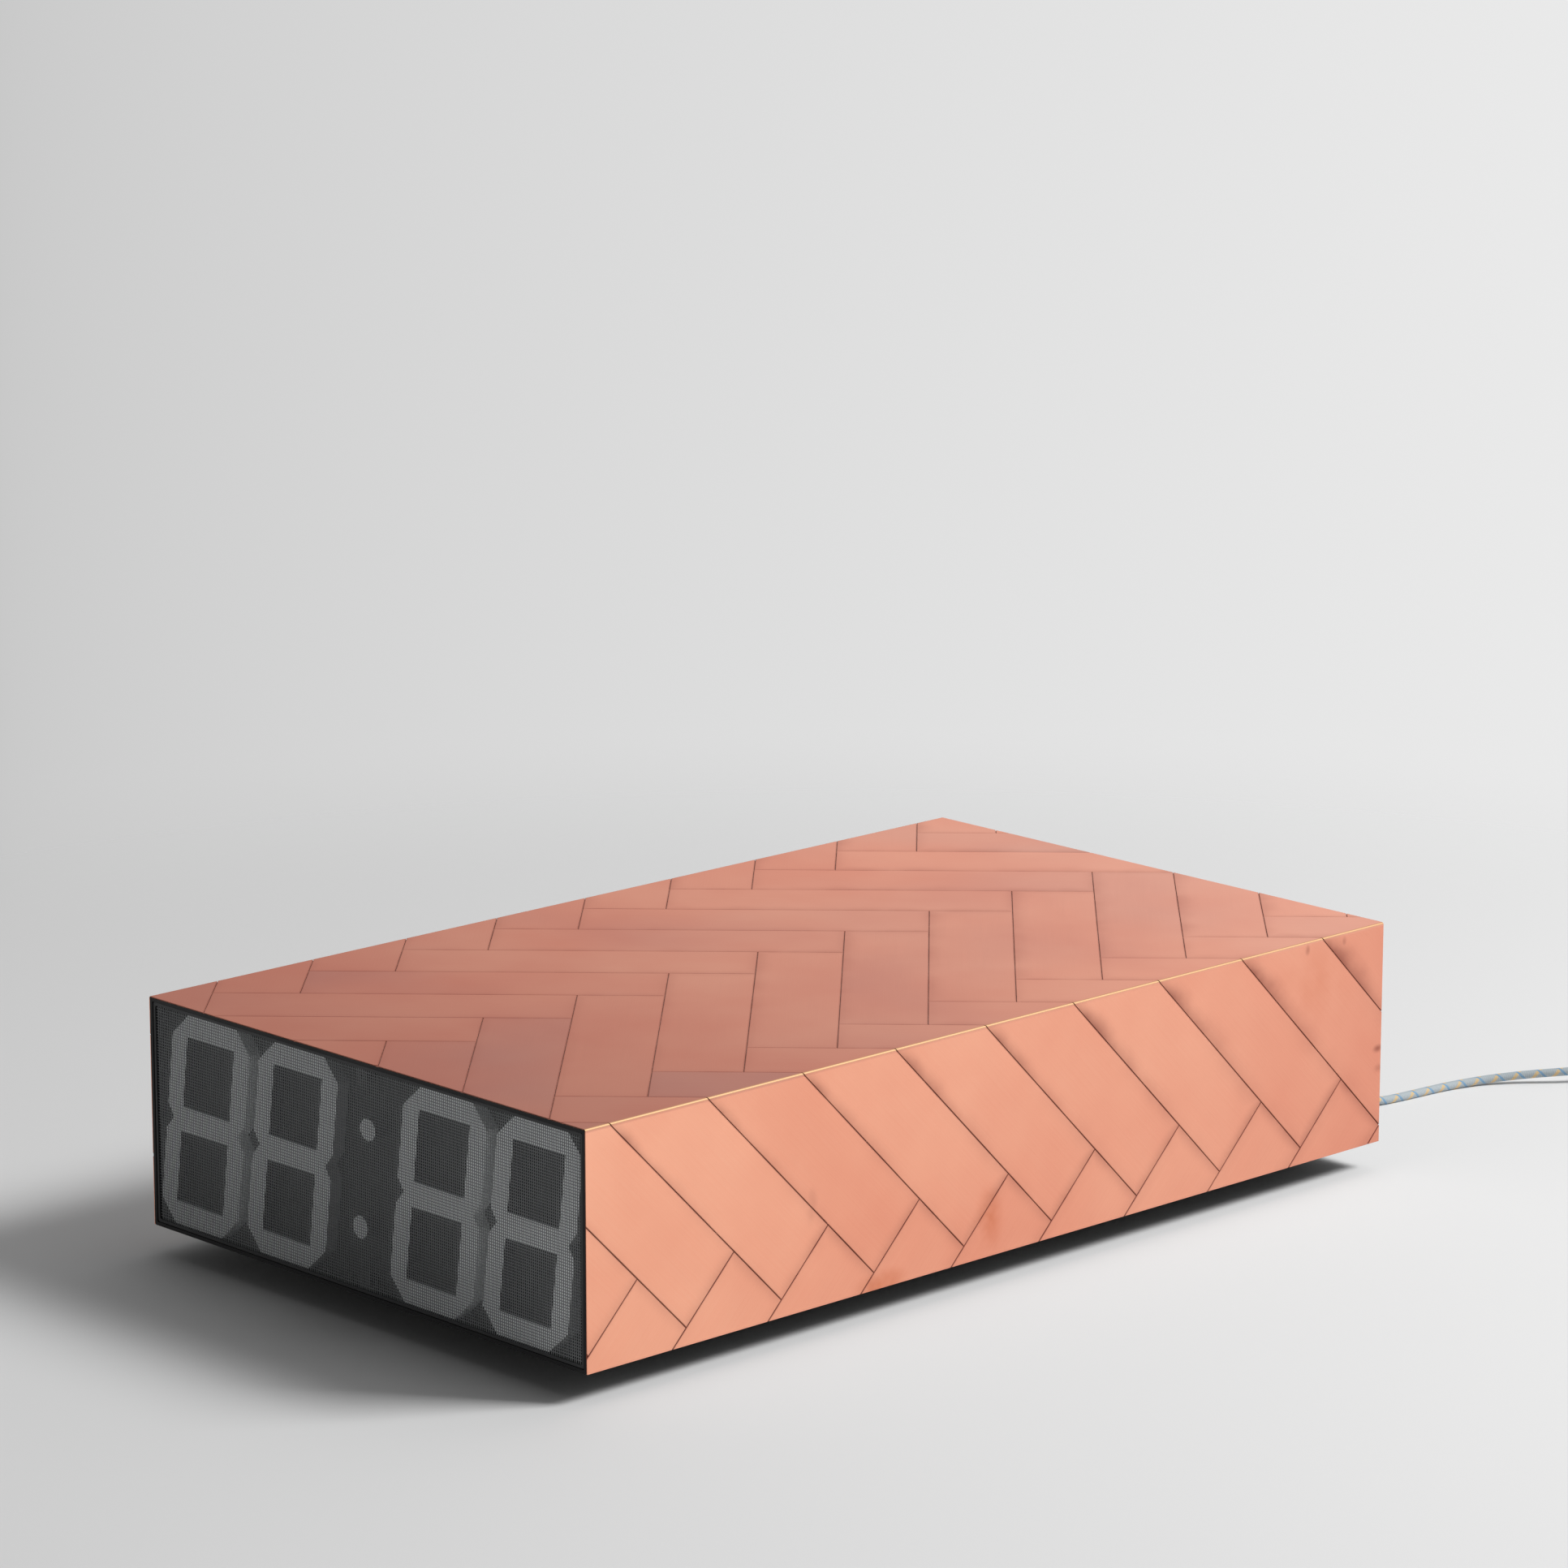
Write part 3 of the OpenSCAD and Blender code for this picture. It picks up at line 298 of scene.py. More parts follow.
def linear(code: str) -> tuple[float, float, float, float]:
    """Turn an sRGB hex colour such as "#c8826f" to linear light, by the standard's own curve.

    Args:
        code: the colour, with its hash mark.

    Returns:
        Red, green, blue and an alpha of 1.
    """
    shares = [int(code[i:i + 2], 16) / 255 for i in (1, 3, 5)]
    light = [s / 12.92 if s <= 0.04045 else ((s + 0.055) / 1.055) ** 2.4 for s in shares]
    return (light[0], light[1], light[2], 1.0)


def per_mm(size: float) -> float:
    """Scale of a pattern on metre coordinates that repeats about every so many millimetres."""
    return 1 / (size * MM)


def add_node(tree: Tree, kind: str, inputs: dict | None = None, **settings) -> Node:
    """Add one shader node with its settings, constants and links.

    Args:
        tree: the node tree.
        kind: the node's type without "ShaderNode".
        inputs: what its inputs get, as for set_inputs.
        settings: the node's own properties.

    Returns:
        The new node.
    """
    node = tree.nodes.new("ShaderNode" + kind)
    for name, value in settings.items():
        setattr(node, name, value)
    set_inputs(tree, node, inputs or {})
    return node


def set_inputs(tree: Tree, node: Node, inputs: dict) -> None:
    """Give a node's inputs their constants, or link them to outputs.

    Args:
        tree: the node tree.
        node: the node.
        inputs: for each input in use, by name or number, a value, an output socket, or a node that stands
            for the first of its outputs in use.
    """
    used = [socket for socket in node.inputs if socket.enabled]
    for key, value in inputs.items():
        entry = used[key] if isinstance(key, int) else next(s for s in used if s.name == key)
        if isinstance(value, Node):
            value = next(s for s in value.outputs if s.enabled)
        if isinstance(value, bpy.types.NodeSocket):
            tree.links.new(value, entry)
        else:
            entry.default_value = value


@dataclass(frozen=True)
class Finish:
    """One real material, made once and shared by the pieces that have it. Its sizes are in millimetres."""

    name: str

    def material(self) -> bpy.types.Material:
        """Make the finish, or find it where it has been made.

        Returns:
            The finish as a Blender material.
        """
        made = bpy.data.materials.get(self.name)
        if made is None:
            made = bpy.data.materials.new(self.name)
            made.use_nodes = True
            self.lay(made.node_tree, made.node_tree.nodes["Principled BSDF"])
        return made

    def lay(self, tree: Tree, shader: Node) -> None:
        """Lay the finish's nodes in front of its shader."""
        raise NotImplementedError


@dataclass(frozen=True)
class Mark:
    """One stain on the right side: its middle, half its width and height in millimetres, its strength."""

    y: float
    z: float
    wide: float
    tall: float
    strength: float


@dataclass(frozen=True)
class Ramp:
    """A level that changes along one axis of the clock, between two places in millimetres."""

    axis: str
    start: float
    end: float
    first: float = 0.0
    last: float = 1.0

    def inputs(self, place: Node) -> dict:
        """What a Map Range node takes to follow the ramp, given the place on the object, separated."""
        return {"Value": place.outputs[self.axis], "From Min": self.start * MM, "From Max": self.end * MM,
                "To Min": self.first, "To Max": self.last}


@dataclass(frozen=True)
class SatinCopper(Finish):
    """Rolled copper sheet, rubbed satin and waxed: pinkish metal with soft clouds and faint rubbing lines.

    Purple-brown darkening beside the seams, darkest by the fold and at the rear, is partly handling patina
    and partly painted shade of the strips' curled edges. The top is painted darker at its front and lighter
    toward its rear, and the sides darker toward the rear, each with its own hue and strength: painted
    shade. The folds are burnished smoother, and their colour partly paints the tint of the lamp's highlight
    on them.
    """

    bright: str = "#f3bca0"
    deep: str = "#e9a78c"
    glancing: str = "#ffddd4"
    veil: str = "#c4aaa4"
    # Colour of the stains and of the seam darkening: patina, and painted shade beside the seams
    patina_and_shade: str = "#7a2f2c"
    heat: str = "#cf7a52"
    # Colour of the fold: partly burnish, partly painted to tint and dim the lamp's highlight on it
    burnish_and_highlight_tint: str = "#af8b6a"
    thrown: str = "#a9a6a5"
    roughness: float = 0.7
    uneven: float = 0.03
    fold_roughness: float = 0.57
    side_x: float = 224.0
    top_z: float = 183.0
    strip_length: float = 250.0
    strip_width: float = 60.0
    fold_start: float = 1.8
    fold_full: float = 1.0
    rub_width: float = 0.9
    rub_length: float = 90.0
    rub_depth: float = 0.2
    rub_strength: float = 0.03
    dent_depth: float = 1.0
    dent_strength: float = 0.25
    # Darkening beside the seams and strip ends: partly patina, partly painted shade of the curled edges
    smudge_and_shade_reach: float = 17.0
    end_reach: float = 11.0
    grime_reach: float = 0.9
    # Size, detail and roughness of each noise
    blotch: tuple[float, float, float] = (38.0, 3.0, 0.55)
    cloud: tuple[float, float, float] = (150.0, 3.0, 0.55)
    film: tuple[float, float, float] = (260.0, 2.0, 0.5)
    dent: tuple[float, float, float] = (70.0, 1.0, 0.5)
    # Shares of the patterns
    tone_share: float = 0.2
    cloud_share: float = 1.4
    cloud_span: tuple[float, float] = (0.4, 1.2)
    film_span: tuple[float, float] = (0.4, 0.7)
    veil_share: float = 0.43
    stain_span: tuple[float, float] = (0.35, 0.6)
    patch_span: tuple[float, float] = (0.3, 0.65)
    patch_share: tuple[float, float] = (0.45, 0.95)
    end_share: float = 0.8
    grime_share: float = 0.8
    smudge_and_shade_spread: float = 0.25
    # Hue, strength and level of the colour at the front and at the rear, painted as shade: the top much
    # darker at its front and lighter toward its rear, the sides darker toward the rear
    side_shade_hue: tuple[float, float] = (0.5, 0.496)
    side_shade_strength: tuple[float, float] = (1.0, 1.0)
    side_shade_level: tuple[float, float] = (1.0, 0.91)
    top_shade_hue: tuple[float, float] = (0.483, 0.496)
    top_shade_strength: tuple[float, float] = (1.08, 0.94)
    top_shade_level: tuple[float, float] = (0.57, 0.97)
    # Where the clock has more or less of something
    whole_length: Ramp = Ramp("Y", -382.5, 382.5)
    on_top: Ramp = Ramp("Z", 180, 183)
    on_right: Ramp = Ramp("X", 194, 204)
    # Painted shade: the metal's colour goes deeper toward the rear
    rear_shade_drift: Ramp = Ramp("Y", -382.5, 382.5, -0.25, 0.25)
    # How strong that darkening is by place, partly patina and partly painted shade, most at the rear and up
    # high
    rear_smudge_and_shade: Ramp = Ramp("Y", -382.5, 382.5, 0.45, 1.0)
    upper_smudge_and_shade: Ramp = Ramp("Z", 80, 170, 0.4, 1.0)
    lower_smudge_and_shade: Ramp = Ramp("Z", 40, 95, 0.45, 0.0)
    inner_smudge_and_shade: Ramp = Ramp("Z", 100, 150, 0.55, 0.1)
    side_smudge_and_shade: Ramp = Ramp("Z", 171, 183, 1.0, 0.25)
    side_grime: Ramp = Ramp("Z", 171, 183, 1.0, 0.6)
    high_smudge_and_shade: Ramp = Ramp("Z", 20, 183, 0.6, 1.0)
    dark_marks: tuple[Mark, ...] = (
        Mark(379, 90, 6, 3.5, 0.55), Mark(380, 75, 6, 4, 0.7), Mark(301, 177, 3, 4.5, 0.5),
        Mark(340, 176, 3, 4.5, 0.4), Mark(-185, 90, 7, 14, 0.25))
    heat_marks: tuple[Mark, ...] = (
        Mark(-19, 45, 15, 24, 0.8), Mark(-121, 24, 26, 10, 0.7), Mark(310, 150, 48, 34, 0.2))
    mark_edge: float = 1.2

    def lay(self, tree: Tree, shader: Node) -> None:
        """Lay clouds, film, painted shade of the top and sides, smudges partly painted as shade, stains,
        folds partly painted as a highlight tint, rubbing lines and bump.

        Args:
            tree: the material's node tree.
            shader: its shader.
        """
        coords = add_node(tree, "TexCoord")
        place = add_node(tree, "SeparateXYZ", {"Vector": coords.outputs["Object"]})
        wander, clouds, film, dents = [add_node(tree, "TexNoise", {
            "Vector": coords.outputs["Object"], "Scale": per_mm(size), "Detail": detail,
            "Roughness": rough})
            for size, detail, rough in (self.blotch, self.cloud, self.film, self.dent)]
        heat, dark = [self.lay_marks(tree, coords, place, wander, marks)
                      for marks in (self.heat_marks, self.dark_marks)]
        # Darkening beside the seams: partly patina, partly painted shade of the strips' curled edges
        smudge = self.lay_smudge_and_shade(tree, coords, place, wander)
        dirt_and_shade = add_node(tree, "Math", {0: dark, 1: smudge}, operation="MAXIMUM")
        # The fold's colour is partly burnish and partly painted to tint and dim the lamp's highlight along
        # it
        fold = self.lay_fold(tree, place)
        path = add_node(tree, "LightPath")
        colour = self.lay_metal(tree, place, clouds, film)
        # The paper stays neutral in the photograph, so the light thrown down on it carries no copper colour
        for share, over in ((heat, self.heat), (dirt_and_shade, self.patina_and_shade), (fold, self.burnish_and_highlight_tint),
                            (path.outputs["Is Diffuse Ray"], self.thrown)):
            colour = add_node(tree, "Mix", {
                "Factor": share, "A": colour, "B": linear(over)}, data_type="RGBA")
        rubbed = add_node(tree, "Mapping", {
            "Vector": coords.outputs["UV"],
            "Scale": (self.strip_length / self.rub_length, self.strip_width / self.rub_width, 1.0)})
        rubbing = add_node(tree, "TexNoise", {"Vector": rubbed, "Scale": 1.0, "Detail": 2.0})
        rough = add_node(tree, "MapRange", {
            "Value": rubbing, **NOISE_SPREAD,
            "To Min": self.roughness - self.uneven, "To Max": self.roughness + self.uneven})
        polished = add_node(tree, "Mix", {
            "Factor": fold, "A": rough, "B": self.fold_roughness}, data_type="FLOAT")
        soft = add_node(tree, "Bump", {
            "Height": dents, "Strength": self.dent_strength, "Distance": self.dent_depth * MM})
        lines = add_node(tree, "Bump", {
            "Height": rubbing, "Strength": self.rub_strength, "Distance": self.rub_depth * MM,
            "Normal": soft})
        set_inputs(tree, shader, {
            "Base Color": colour, "Metallic": 1.0, "Roughness": polished,
            "Specular Tint": linear(self.glancing), "Normal": lines})

    def lay_metal(self, tree: Tree, place: Node, clouds: Node, film: Node) -> Node:
        """Lay the bare metal's clouds and the grey-blue film, then the painted shade of the top and the
        sides.

        Args:
            tree: the node tree.
            place: the place on the object, separated.
            clouds: noise that changes the metal's colour.
            film: noise that changes the film's strength.

        Returns:
            The metal's colour.
        """
        tone = add_node(tree, "Attribute", attribute_name="tone")
        # Painted shade: the level starts deeper toward the rear
        level = add_node(tree, "MapRange", self.rear_shade_drift.inputs(place))
        for pattern, share in ((tone, self.tone_share), (clouds, self.cloud_share)):
            level = add_node(tree, "Math", {
                0: pattern.outputs["Fac"], 1: share, 2: level}, operation="MULTIPLY_ADD")
        shade = add_node(tree, "MapRange", {
            "Value": level, "From Min": self.cloud_span[0], "From Max": self.cloud_span[1]})
        metal = add_node(tree, "Mix", {
            "Factor": shade, "A": linear(self.bright), "B": linear(self.deep)}, data_type="RGBA")
        upper = add_node(tree, "MapRange", self.on_top.inputs(place))
        amount = add_node(tree, "MapRange", {
            "Value": film, "From Min": self.film_span[0], "From Max": self.film_span[1],
            "To Max": self.veil_share})
        for share in (upper, tone.outputs["Fac"]):
            amount = add_node(tree, "Math", {0: amount, 1: share}, operation="MULTIPLY")
        veiled = add_node(tree, "Mix", {
            "Factor": amount, "A": metal, "B": linear(self.veil)}, data_type="RGBA")
        # Painted shade: the top and the sides get their own hue, strength and level, the top darkest at its
        # front, the sides darker toward the rear
        shift = {"Color": veiled}
        for name, side, top in (("Hue", self.side_shade_hue, self.top_shade_hue),
                                ("Saturation", self.side_shade_strength, self.top_shade_strength),
                                ("Value", self.side_shade_level, self.top_shade_level)):
            front, rear = [add_node(tree, "MapRange", {"Value": upper, "To Min": below, "To Max": above})
                           for below, above in zip(side, top)]
            shift[name] = add_node(tree, "MapRange", {
                **self.whole_length.inputs(place), "To Min": front, "To Max": rear})
        return add_node(tree, "HueSaturation", shift)

    def lay_fold(self, tree: Tree, place: Node) -> Node:
        """Find the rounded fold of the two long top edges.

        Args:
            tree: the node tree.
            place: the place on the object, separated.

        Returns:
            1 on the fold and 0 elsewhere.
        """
        out = add_node(tree, "Math", {0: place.outputs["X"]}, operation="ABSOLUTE")
        beside, above = [add_node(tree, "MapRange", {
            "Value": value, "From Min": (face - self.fold_start) * MM,
            "From Max": (face - self.fold_full) * MM})
            for value, face in ((out, self.side_x), (place.outputs["Z"], self.top_z))]
        return add_node(tree, "Math", {0: beside, 1: above}, operation="MULTIPLY")

    def lay_marks(self, tree: Tree, coords: Node, place: Node, wander: Node, marks: Sequence[Mark]) -> Node:
        """Lay soft-edged stains on the right side.

        Args:
            tree: the node tree.
            coords: texture coordinates.
            place: the place on the object, separated.
            wander: noise that breaks the stains up.
            marks: the stains.

        Returns:
            How strong the stains are, from 0 to 1.
        """
        right = add_node(tree, "MapRange", self.on_right.inputs(place))
        broken = add_node(tree, "MapRange", {
            "Value": wander, "From Min": self.stain_span[0], "From Max": self.stain_span[1]})
        worst = 0.0
        for mark in marks:
            own = add_node(tree, "VectorMath", {
                0: coords.outputs["Object"], 1: (0.0, per_mm(mark.wide), per_mm(mark.tall)),
                2: (0.0, -mark.y / mark.wide, -mark.z / mark.tall)}, operation="MULTIPLY_ADD")
            away = add_node(tree, "VectorMath", {0: own}, operation="LENGTH")
            spot = add_node(tree, "MapRange", {
                "Value": away, "From Max": self.mark_edge, "To Min": mark.strength, "To Max": 0.0},
                interpolation_type="SMOOTHSTEP")
            worst = add_node(tree, "Math", {0: spot, 1: worst}, operation="MAXIMUM")
        for share in (right, broken):
            worst = add_node(tree, "Math", {0: worst, 1: share}, operation="MULTIPLY")
        return worst

    def lay_smudge_and_shade(self, tree: Tree, coords: Node, place: Node, wander: Node) -> Node:
        """Lay the darkening along the long edges and the ends of each strip, partly patina and partly
        painted shade of their curled edges, and the thin grime in every seam.

        Args:
            tree: the node tree.
            coords: texture coordinates, with the place on the strip from 0 to 1 along and across.
            place: the place on the object, separated.
            wander: noise that changes the darkening's width and strength.

        Returns:
            How strong the darkening is, from 0 to 1.
        """
        rear, upper, lower, inner, side, seam, high = [
            add_node(tree, "MapRange", ramp.inputs(place)) for ramp in (
                self.rear_smudge_and_shade, self.upper_smudge_and_shade, self.lower_smudge_and_shade, self.inner_smudge_and_shade, self.side_smudge_and_shade,
                self.side_grime, self.high_smudge_and_shade)]
        strip = add_node(tree, "SeparateXYZ", {"Vector": coords.outputs["UV"]})
        reach = add_node(tree, "MapRange", {
            "Value": wander, **NOISE_SPREAD, "To Min": (1 - self.smudge_and_shade_spread) * self.smudge_and_shade_reach,
            "To Max": (1 + self.smudge_and_shade_spread) * self.smudge_and_shade_reach})
        wide = add_node(tree, "Math", {0: reach, 1: rear}, operation="MULTIPLY")
        across = add_node(tree, "Math", {0: strip.outputs["Y"], 1: self.strip_width}, operation="MULTIPLY")
        inside = add_node(tree, "Math", {0: self.strip_width, 1: across}, operation="SUBTRACT")
        outer = add_node(tree, "Math", {0: upper, 1: lower}, operation="MAXIMUM")
        middle = add_node(tree, "Math", {0: strip.outputs["X"], 1: 0.5}, operation="SUBTRACT")
        aside = add_node(tree, "Math", {0: middle}, operation="ABSOLUTE")
        along = add_node(tree, "Math", {
            0: aside, 1: -self.strip_length, 2: self.strip_length / 2}, operation="MULTIPLY_ADD")
        worst = add_node(tree, "MapRange", {
            "Value": along, "From Max": self.end_reach, "To Min": self.end_share, "To Max": 0.0})
        nearest = along
        for away, part in ((across, outer), (inside, inner)):
            band = add_node(tree, "MapRange", {
                "Value": away, "From Max": wide, "To Min": 1.0, "To Max": 0.0})
            edge = add_node(tree, "Math", {0: band, 1: part}, operation="MULTIPLY")
            worst = add_node(tree, "Math", {0: edge, 1: worst}, operation="MAXIMUM")
            nearest = add_node(tree, "Math", {0: away, 1: nearest}, operation="MINIMUM")
        shape = add_node(tree, "Math", {0: worst, 1: 2.0}, operation="POWER")
        grime = add_node(tree, "MapRange", {
            "Value": nearest, "From Max": self.grime_reach, "To Min": self.grime_share, "To Max": 0.0})
        patches = add_node(tree, "MapRange", {
            "Value": wander, "From Min": self.patch_span[0], "From Max": self.patch_span[1],
            "To Min": self.patch_share[0], "To Max": self.patch_share[1]})
        layers = []
        for amount, shares in ((shape, (patches, side, high, rear)), (grime, (patches, seam))):
            for share in shares:
                amount = add_node(tree, "Math", {0: amount, 1: share}, operation="MULTIPLY")
            layers.append(amount)
        return add_node(tree, "Math", {0: layers[0], 1: layers[1]}, operation="MAXIMUM")


@dataclass(frozen=True)
class Grained(Finish):
    """One colour under a fine relief, with slightly uneven colour and gloss."""

    colour: str = "#1a1a1b"
    roughness: float = 0.45
    uneven: float = 0.05
    mottle: float = 0.0
    patch: float = 25.0
    patch_detail: float = 2.0
    grain: float = 0.8
    grain_detail: float = 1.0
    grain_stretch: tuple[float, float, float] = (1.0, 1.0, 1.0)
    grain_strength: float = 0.15
    grain_depth: float = 0.05
    noise_roughness: float = 0.5
    metallic: float = 0.0
    shine: float = 0.5
    sheen: float = 0.0

    def lay(self, tree: Tree, shader: Node) -> None:
        """Lay the relief, and patches of another level and gloss.

        Args:
            tree: the material's node tree.
            shader: its shader.
        """
        coords = add_node(tree, "TexCoord")
        drawn = add_node(tree, "Mapping", {"Vector": coords.outputs["Object"], "Scale": self.grain_stretch})
        fine, broad = [add_node(tree, "TexNoise", {
            "Vector": where, "Scale": per_mm(size), "Detail": detail, "Roughness": self.noise_roughness})
            for where, size, detail in ((drawn, self.grain, self.grain_detail),
                                        (coords.outputs["Object"], self.patch, self.patch_detail))]
        level, rough = [add_node(tree, "MapRange", {
            "Value": broad, **NOISE_SPREAD, "To Min": mean - spread, "To Max": mean + spread})
            for mean, spread in ((1.0, self.mottle), (self.roughness, self.uneven))]
        colour = add_node(tree, "HueSaturation", {"Value": level, "Color": linear(self.colour)})
        bump = add_node(tree, "Bump", {
            "Height": fine, "Strength": self.grain_strength, "Distance": self.grain_depth * MM})
        set_inputs(tree, shader, {
            "Base Color": colour, "Metallic": self.metallic, "Roughness": rough,
            "Specular IOR Level": self.shine, "Sheen Weight": self.sheen, "Normal": bump})


@dataclass(frozen=True)
class PowderCoat(Grained):
    """Polyester powder baked on sheet metal: even satin colour with the dimples of orange peel.

    The dimples are drawn about twice as wide as real ones, so that they show.
    """

    colour: str = "#0d0d0e"
    roughness: float = 0.55
    uneven: float = 0.06
    patch: float = 60.0
    grain: float = 2.0
    grain_strength: float = 0.5
    grain_depth: float = 0.15
    shine: float = 0.3


@dataclass(frozen=True)
class GluedSheet(PowderCoat):
    """The sleeve's black coat with contact glue where the copper lies on it: red-brown in the side's seams.

    On the top the glue is painted paler, as painted light that lifts the shade of the seams there.
    """

    side_glue: str = "#8a4530"
    top_glue_painted_light: str = "#cf8a72"
    # Just under the outer faces
    side_x: float = 223.15
    top_z: float = 182.15

    def lay(self, tree: Tree, shader: Node) -> None:
        """Lay the coat, then the glue on the outer faces.

        Args:
            tree: the material's node tree.
            shader: its shader.
        """
        super().lay(tree, shader)
        coords = add_node(tree, "TexCoord")
        place = add_node(tree, "SeparateXYZ", {"Vector": coords.outputs["Object"]})
        out = add_node(tree, "Math", {0: place.outputs["X"]}, operation="ABSOLUTE")
        colour = shader.inputs["Base Color"].links[0].from_socket
        # On the top the paler glue is painted light against the shade in the seams
        for value, face, glue in ((out, self.side_x, self.side_glue),
                                  (place.outputs["Z"], self.top_z, self.top_glue_painted_light)):
            covered = add_node(tree, "Math", {0: value, 1: face * MM}, operation="GREATER_THAN")
            colour = add_node(tree, "Mix", {
                "Factor": covered, "A": colour, "B": linear(glue)}, data_type="RGBA")
        set_inputs(tree, shader, {"Base Color": colour})


@dataclass(frozen=True)
class Moulded(Grained):
    """Injection-moulded plastic: even colour under a fine spark-eroded grain and slightly uneven gloss."""

    mottle: float = 0.06
    grain_detail: float = 2.0


@dataclass(frozen=True)
class PlatedSteel(Grained):
    """Turned or pressed steel under a thin, cloudy plating: grey metal with fine tool lines."""

    colour: str = "#c9cbce"
    roughness: float = 0.32
    uneven: float = 0.07
    patch: float = 8.0
    grain: float = 0.4
    grain_stretch: tuple[float, float, float] = (1.0, 0.15, 1.0)
    grain_strength: float = 0.1
    metallic: float = 1.0


@dataclass(frozen=True)
class OpalFace(Finish):
    """Opal acrylic in black walls: pale and matt toward the viewer and in the gap of a pair, else dark."""

    face: str = "#f0f2f3"
    wall: str = "#0e0e0f"
    roughness: float = 0.5
    haze: float = 12.0
    haze_level: tuple[float, float] = (0.96, 1.02)

    def lay(self, tree: Tree, shader: Node) -> None:
        """Lay the pale face and the dark walls by the share that each face keeps.

        Args:
            tree: the material's node tree.
            shader: its shader.
        """
        coords = add_node(tree, "TexCoord")
        share = add_node(tree, "Attribute", attribute_name="pale")
        haze = add_node(tree, "TexNoise", {
            "Vector": coords.outputs["Object"], "Scale": per_mm(self.haze), "Detail": 2.0})
        level = add_node(tree, "MapRange", {
            "Value": haze, **NOISE_SPREAD, "To Min": self.haze_level[0], "To Max": self.haze_level[1]})
        pale = add_node(tree, "HueSaturation", {"Value": level, "Color": linear(self.face)})
        colour = add_node(tree, "Mix", {
            "Factor": share.outputs["Fac"], "A": linear(self.wall), "B": pale}, data_type="RGBA")
        set_inputs(tree, shader, {"Base Color": colour, "Roughness": self.roughness})


@dataclass(frozen=True)
class TextileBraid(Finish):
    """Cotton braid over a mains lead: crossing yarns in blue-grey with ochre and blue tracer yarns."""

    yarn: str = "#c6ced1"
    shadow: str = "#95a1a8"
    ochre: str = "#dcbf90"
    blue: str = "#7ea4c4"
    ochre_share: float = 0.2
    blue_share: float = 0.14
    yarns_around: float = 12.0
    yarn_length: float = 2.2
    yarn_depth: float = 0.25
    yarn_strength: float = 0.6
    tracer_pitch: float = 16.0
    roughness: float = 0.8
    sheen: float = 0.15

    def lay(self, tree: Tree, shader: Node) -> None:
        """Lay the crossing yarns and the two tracers on the cord's own map.

        Args:
            tree: the material's node tree.
            shader: its shader.
        """
        coords = add_node(tree, "TexCoord")
        own = add_node(tree, "SeparateXYZ", {"Vector": coords.outputs["UV"]})
        along = add_node(tree, "Math", {
            0: own.outputs["Y"], 1: 2 * math.pi * per_mm(self.yarn_length)}, operation="MULTIPLY")
        weave = 1.0
        for way in (1.0, -1.0):
            phase = add_node(tree, "Math", {
                0: own.outputs["X"], 1: way * 2 * math.pi * self.yarns_around, 2: along},
                operation="MULTIPLY_ADD")
            wave = add_node(tree, "Math", {0: phase}, operation="SINE")
            weave = add_node(tree, "Math", {0: wave, 1: weave}, operation="MULTIPLY")
        height = add_node(tree, "MapRange", {"Value": weave, "From Min": -1.0, "From Max": 1.0})
        colour = add_node(tree, "Mix", {
            "Factor": height, "A": linear(self.shadow), "B": linear(self.yarn)}, data_type="RGBA")
        for way, share, tracer in ((1.0, self.ochre_share, self.ochre), (-1.0, self.blue_share, self.blue)):
            lap = add_node(tree, "Math", {
                0: own.outputs["Y"], 1: way * per_mm(self.tracer_pitch), 2: own.outputs["X"]},
                operation="MULTIPLY_ADD")
            part = add_node(tree, "Math", {0: lap}, operation="FRACT")
            on = add_node(tree, "Math", {0: part, 1: share}, operation="LESS_THAN")
            colour = add_node(tree, "Mix", {
                "Factor": on, "A": colour, "B": linear(tracer)}, data_type="RGBA")
        bump = add_node(tree, "Bump", {
            "Height": height, "Strength": self.yarn_strength, "Distance": self.yarn_depth * MM})
        set_inputs(tree, shader, {
            "Base Color": colour, "Roughness": self.roughness, "Sheen Weight": self.sheen, "Normal": bump})


@dataclass(frozen=True)
class StainedWood(Finish):
    """Hardwood rail under a black stain: nearly black, with the grain and pores still showing."""

    dark: str = "#17150f"
    light: str = "#2a2620"
    roughness: float = 0.6
    grain: float = 2.5
    grain_detail: float = 4.0
    grain_bend: float = 0.4
    grain_stretch: tuple[float, float, float] = (0.2, 0.2, 1.0)
    grain_strength: float = 0.3
    grain_depth: float = 0.2

    def lay(self, tree: Tree, shader: Node) -> None:
        """Lay the grain along the rail.

        Args:
            tree: the material's node tree.
            shader: its shader.
        """
        coords = add_node(tree, "TexCoord")
        drawn = add_node(tree, "Mapping", {"Vector": coords.outputs["Object"], "Scale": self.grain_stretch})
        grain = add_node(tree, "TexNoise", {
            "Vector": drawn, "Scale": per_mm(self.grain), "Detail": self.grain_detail,
            "Distortion": self.grain_bend})
        colour = add_node(tree, "Mix", {
            "Factor": grain, "A": linear(self.dark), "B": linear(self.light)}, data_type="RGBA")
        bump = add_node(tree, "Bump", {
            "Height": grain, "Strength": self.grain_strength, "Distance": self.grain_depth * MM})
        set_inputs(tree, shader, {"Base Color": colour, "Roughness": self.roughness, "Normal": bump})


